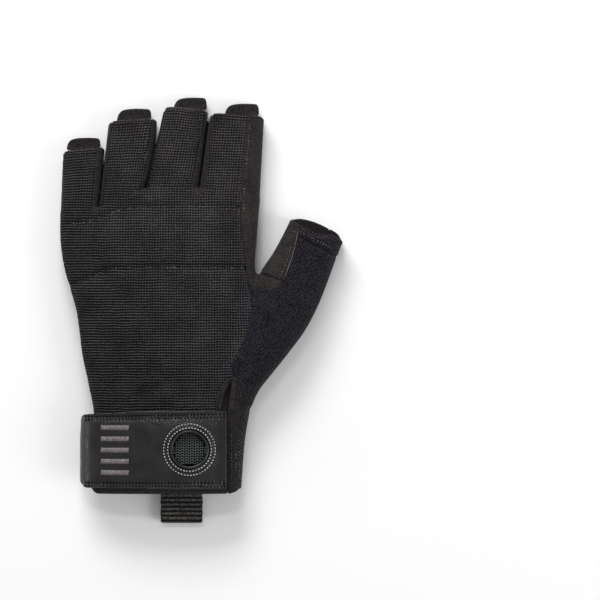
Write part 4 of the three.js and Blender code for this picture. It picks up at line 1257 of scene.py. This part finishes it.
def lay_on_strap(line):
    flat = even_line(line, 0.5)
    height = lambda x, y: over_wrist(x, y, strap_clear)
    x, y = flat.T
    z = height(x, y)
    slope = [(height(x + 0.05, y) - height(x - 0.05, y)) / 0.1, (height(x, y + 0.05) - height(x, y - 0.05)) / 0.1]
    points = np.column_stack([flat, z])
    normals = unit(np.stack([-slope[0], -slope[1], np.ones(len(x))], 1))
    return points + normals * strap_relief(points)[:, None], normals


def threads(starts, ends, normals, width, dive=0.45, rise=0.5):
    """Short lengths of thread, each with both ends sunk in the surface."""
    rings, sides = 5, 6
    turn = np.arange(sides) * 2 * math.pi / sides
    share = np.array([0, 0.18, 0.5, 0.82, 1])
    height = width * np.array([-dive, rise / 2, rise, rise / 2, -dive])
    radius = width / 2 * np.array([0.4, 0.92, 1, 0.92, 0.4])
    forward = unit(ends - starts)
    side = unit(np.cross(forward, normals))
    up = np.cross(side, forward)
    middle = starts[:, None] + share[:, None] * (ends - starts)[:, None] + height[:, None] * normals[:, None]
    ring = np.cos(turn)[:, None] * side[:, None, None] + np.sin(turn)[:, None] * up[:, None, None]
    points = (middle[:, :, None] + radius[:, None, None] * ring).reshape(-1, 3)
    firsts = range(0, len(points), rings * sides)
    return points, [face for first in firsts for face in tube_faces(rings, sides, first)]


def stitch(name, rows, pitch, length, width, thread, slot="synthetic_suede", rise=0.5):
    """Sewn rows: each is a line of points with the directions out."""
    starts, ends, ups = [], [], []
    for points, normals in rows:
        if len(points) < 2:
            continue
        run = run_along(points)
        middle = np.arange(pitch / 2, run[-1] - length / 2, pitch)
        starts.append(at_run(middle - length / 2, run, points))
        ends.append(at_run(middle + length / 2, run, points))
        ups.append(unit(at_run(middle, run, normals)))
    points, faces = threads(np.vstack(starts), np.vstack(ends), np.vstack(ups), width, rise=rise)
    return make_piece(name, points, faces, slot, thread)


def zigzag(line, pitch, width):
    """A line that swings from side to side of another one."""
    even = even_line(line, pitch)
    return beside(even, width / 2 * (-1.0) ** np.arange(len(even)))


def piping(name, rows, radius, material="synthetic_suede"):
    """Thin rolled edges that lie half sunk along lines of points with the directions out."""
    points, faces, sides = [], [], 10
    turn = np.arange(sides) * 2 * math.pi / sides
    for line, normals in rows:
        forward = unit(np.gradient(line, axis=0))
        side = unit(np.cross(forward, normals))
        up = np.cross(side, forward)
        size = radius * np.clip(3 * np.sin(np.linspace(0, math.pi, len(line))), 0.15, 1)[:, None, None]
        ring = np.cos(turn)[None, :, None] * side[:, None] + np.sin(turn)[None, :, None] * up[:, None]
        faces += tube_faces(len(line), sides, sum(len(part) for part in points))
        points.append((line[:, None] + size * ring).reshape(-1, 3))
    return make_piece(name, np.vstack(points), faces, "synthetic_suede", material)


outer_seam = soften(left_arch)[4:] + soften(right_arch)[::-1][2:-4]
strap_groove = lay([[strap_right, cuff_edge - 0.6], [strap_right, strap_high - 1.5]], raised(0.2))
centre_roll = lay(soften(on_vent((0.1, -0.12), (0.12, 0.3), (0.19, 0.72), (0.22, 0.9))), raised(1.2))
left_roll = lay(soften(on_vent((-0.27, -0.05), (-0.24, 0.3), (-0.12, 0.66), (0.04, 0.86))), raised(0.4))
rolls = [piping("vent_seam_roll", [lay(outer_seam, raised(0.25)), strap_groove, left_roll], 0.6),
         piping("vent_slit_roll", [centre_roll], 1.1)]


def slot_seam(i):
    """The seam at the bottom of the slot between two fingers, as far as they lie side by side."""
    share = np.linspace(0, 1, 60)
    right, left = finger_edge(i, 1, share), finger_edge(i + 1, -1, share)
    x = (right + left) / 2
    close = (left - right < 1.3) & (share < 0.93)
    line = np.column_stack([x, finger_y(i, share, x), np.full(60, 4.5)])[close]
    return line, straight(line)


def on_finger(i, insets, inset):
    """A line across a finger, some way inside its mouth, with its ends set in from the finger's two sides."""
    xs = (finger_edge(i, -1, 1) + insets[0], finger_edge(i, 1, 1) - insets[1])
    return [[x, tip_line(i, x) - inset] for x in xs]


piping("finger_slot_seams", [slot_seam(i) for i in range(3)], 0.75, "binding_leather")
towel_line = [place for place in leather_seam if thumb_place(*place)[1] < -1.2]
# Paler leather on the seam's ridge: painted highlight.
piping("thumb_seam_edge", [lay(towel_line, raised(0.12))], 0.28, "highlit_edge")

back_stitches = [stitch("stitching_knuckles", [lay(knuckle_row, back_relief), lay(pad_row, back_relief)],
                        1.7, 1.25, 0.36, "speckled_thread", "woven_nylon")]
seam_up = [place for place in seam_line if place[1] < tip_line(3, place[0]) - 1]
leather_side = [place for place in beside(seam_up, 1.35).tolist() if place[1] > 57]
stitch("stitching_index_leather", [lay(leather_side)], 1.6, 0.95, 0.36, "grey_thread")
back_stitches.append(stitch("stitching_index_cloth", [lay(beside(seam_up, -1.2), back_relief)], 1.6, 1.0, 0.3,
                            "brown_thread", "woven_nylon"))
leather_row = [place for place in beside(leather_seam, -1.9).tolist() if thumb_place(*place)[1] < -1.5]
stitch("stitching_thumb_leather", [lay(leather_row)], 1.6, 0.95, 0.36, "grey_thread")
edge_rows, hem_rows, end_rows = [], [], []
for i in range(4):
    cloth_width = (2.2, 8.6 if i == 3 else 2.6)
    edge_rows.append(lay(on_finger(i, cloth_width, 0.75), back_relief))
    hem_rows.append(lay(on_finger(i, cloth_width, 3.1), back_relief))
    end_rows += [lay(on_finger(i, (2.4, 2.6), inset), palm_relief, True) for inset in end_insets]
back_stitches += [stitch("stitching_finger_edges", edge_rows, 0.9, 0.7, 0.24, "brown_thread", "woven_nylon"),
                  stitch("stitching_finger_hems", hem_rows, 1.5, 1.1, 0.26, "black_thread", "woven_nylon")]
hem_across = np.linspace(-7.4, 11.5, 24)
hem_row = on_thumb(hem_across, np.full(len(hem_across), -3.3))
hem_stitches = stitch("stitching_thumb_hem", [lay(hem_row, raised(0.3))], 1.6, 0.9, 0.34, "grey_thread", "towelling")
overlock = on_thumb(hem_across, thumb_back_edge(hem_across) - 1.1)
hem_overlock = stitch("overlock_thumb_hem", [lay(zigzag(overlock, 0.8, 1.5), raised(0.3))], 1.65, 1.6, 0.3,
                      "brown_thread", "towelling")
vent_rows = [lay([[strap_right + aside, cuff_edge + low], [strap_right + aside, strap_high - high]], relief)
             for aside, low, high, relief in [
                 (1.2, 2.8, 1, binding_relief), (3.3, 2.8, 1, binding_relief), (5.6, 3.6, 4, no_relief)]]
vent_rows.append(lay(soften(on_vent((-0.3, 0.05), (-0.22, 0.44), (-0.08, 0.75), (0.07, 0.9))), raised(0.5)))
vent_rows.append(lay(soften(on_vent((0.26, 0.82), (0.4, 0.66), (0.44, 0.3), (0.4, -0.1))), binding_relief))
stitch("stitching_vent", vent_rows, 1.6, 1.0, 0.34, "speckled_thread")
strap_rows = [lay_on_strap([[x, level + slope * (x - strap_right)] for x in (strap_left + 2.2, strap_right - 0.6)])
              for level, slope in strap_row_levels]
# Black thread, with painted shade for the stitch holes.
strap_stitches = [stitch("stitching_strap", strap_rows, strap_stitch, 1.15, 0.6, "strap_thread_and_hole_shade", "smooth_leather",
                         0.25)]
turn = np.linspace(0, 2 * math.pi, 120)
rings = [lay_on_strap(np.stack([eyelet_centre[0] + r * np.cos(turn + r), eyelet_centre[1] + r * np.sin(turn + r)], 1))
         for r in (10.8, 12.8)]
strap_stitches.append(stitch("stitching_eyelet", rings, 1.55, 0.95, 0.46, "pale_thread", "smooth_leather"))
patch_row = even_line(patch_row, 0.5)
palm_stitches = [stitch("stitching_palm", [lay(row, palm_relief, True) for row in palm_rows] + end_rows,
                        2.1, 1.5, 0.34, "speckled_thread", rise=0.2)]
stitch("stitching_patch", [(np.column_stack([patch_row, np.full(len(patch_row), 0.38)]), straight(patch_row, -1))],
       2.0, 1.4, 0.34, "speckled_thread", rise=0.1)
beside_webbing = webbing_width / 2 + 1
cuff_rows = [lay([[x, level] for x in ends], elastic_relief, True) for level in cuff_row_levels
             for ends in ((-28, webbing_middle - beside_webbing), (webbing_middle + beside_webbing, 37))]
cuff_stitches = stitch("stitching_cuff", cuff_rows, 1.9, 1.3, 0.34, "speckled_thread", "stretch_twill", 0.2)

# Knit behind the eyelet: a backing with rows of slanting loops
knit_level = -2.0  # from the strap's face
knit_radius, backing_depth = 8.8, 0.2
backing, made = ring_round_eyelet([[reach, knit_level - depth] for reach, depth in [
    (0.01, 0), (knit_radius, 0), (knit_radius, backing_depth), (0.01, backing_depth)]])
spots = np.array([[column, level, side] for column in np.arange(-7.2, 7.3, 2.4) for level in np.arange(-8.2, 8.3, 1.3)
                  for side in (-1, 1) if math.hypot(column + side * 0.6, level) < 8.1])


def loop_ends(aside, up):
    """Where the knit's loops start or end, by how far that lies beside and above the middle of each."""
    x, y = eyelet_centre[0] + spots[:, 0] + spots[:, 2] * aside, eyelet_centre[1] + spots[:, 1] + up
    return np.column_stack([x, y, over_wrist(x, y, strap_clear) + knit_level])


loops, loop_faces = threads(loop_ends(1.08, 0.65), loop_ends(0.12, -0.45), straight(spots), 0.66, 0.2, 0.3)
knit_points = np.vstack([backing, loops])
front = np.arange(len(knit_points)) >= len(backing)
knit = make_piece("eyelet_knit", knit_points, made + [[a + len(backing) for a in face] for face in loop_faces],
                  "knit_mesh", "knit_mesh", ["eyelet_mesh"], np.column_stack([knit_points[:, :2], front]))

# Five plain bars of satin stitch near the strap's free end, for the fingers to feel
bar_half, bar_spacing = 1.35, 5.6
bars = [(x, cuff_edge + 10.6 + bar_spacing * bar) for bar in range(5) for x in np.arange(-29, -15.2, 0.42)]
starts, ends = (np.array([lay_on_strap([[x + lean, y + up], [x + lean, y + up + 0.1]])[0][0] for x, y in bars])
                for lean, up in ((0, -bar_half), (0.3, bar_half)))
points, faces = threads(starts, ends, np.tile(unit(np.array([-0.08, 0.0, 1.0])), (len(starts), 1)), 0.5, 0.3, 0.6)
make_piece("satin_bars", points, faces, "smooth_leather", "mauve_thread")

# Floor, light and camera
floor_mesh = bpy.data.meshes.new("floor")
floor_mesh.from_pydata([(-2, -2, 0), (2, -2, 0), (2, 2, 0), (-2, 2, 0)], [], [(0, 1, 2, 3)])
floor_mesh.materials.append(start_material("pale_paper", Roughness=0.9, Base_Color=linear("fdfdfd"))[0])
floor = put_in_scene("floor", floor_mesh)
floor.location.z = -0.2 * MM

for name, place, aim, size, power in [
        ("key", (-0.3, 1.08, 0.66), (0, 0, 0), (0.8, 0.4), 14.5),
        ("fill", (1.05, -0.4, 0.6), (0, 0, 0), (0.7, 0.7), 6.0),
        ("side_strip", (-1.0, -0.06, 0.3), (0, -0.03, 0), (0.7, 0.03), 1.2),
        ("strap_card", (-0.05, 0.55, 0.95), (0, -0.06, 0), (0.4, 0.12), 1.6)]:
    light = bpy.data.lights.new(name, "AREA")
    light.shape = "RECTANGLE"
    light.size, light.size_y = size
    light.energy = power
    lamp = put_in_scene(name, light)
    lamp.location = place
    lamp.rotation_euler = (Vector(aim) - Vector(place)).to_track_quat("-Z", "Y").to_euler()

world = bpy.data.worlds.new("studio")
world.use_nodes = True
background = world.node_tree.nodes["Background"].inputs
background["Color"].default_value = (1, 1, 1, 1)
background["Strength"].default_value = 0.36
scene = bpy.context.scene
scene.world = world
scene.view_settings.view_transform = "Standard"

camera_data = bpy.data.cameras.new("camera")
camera_data.lens = 240
camera_data.sensor_width = 36
camera_data.clip_end = 20
camera = put_in_scene("camera", camera_data)
camera.location = (0.070, 0.015, 2.01)
scene.camera = camera
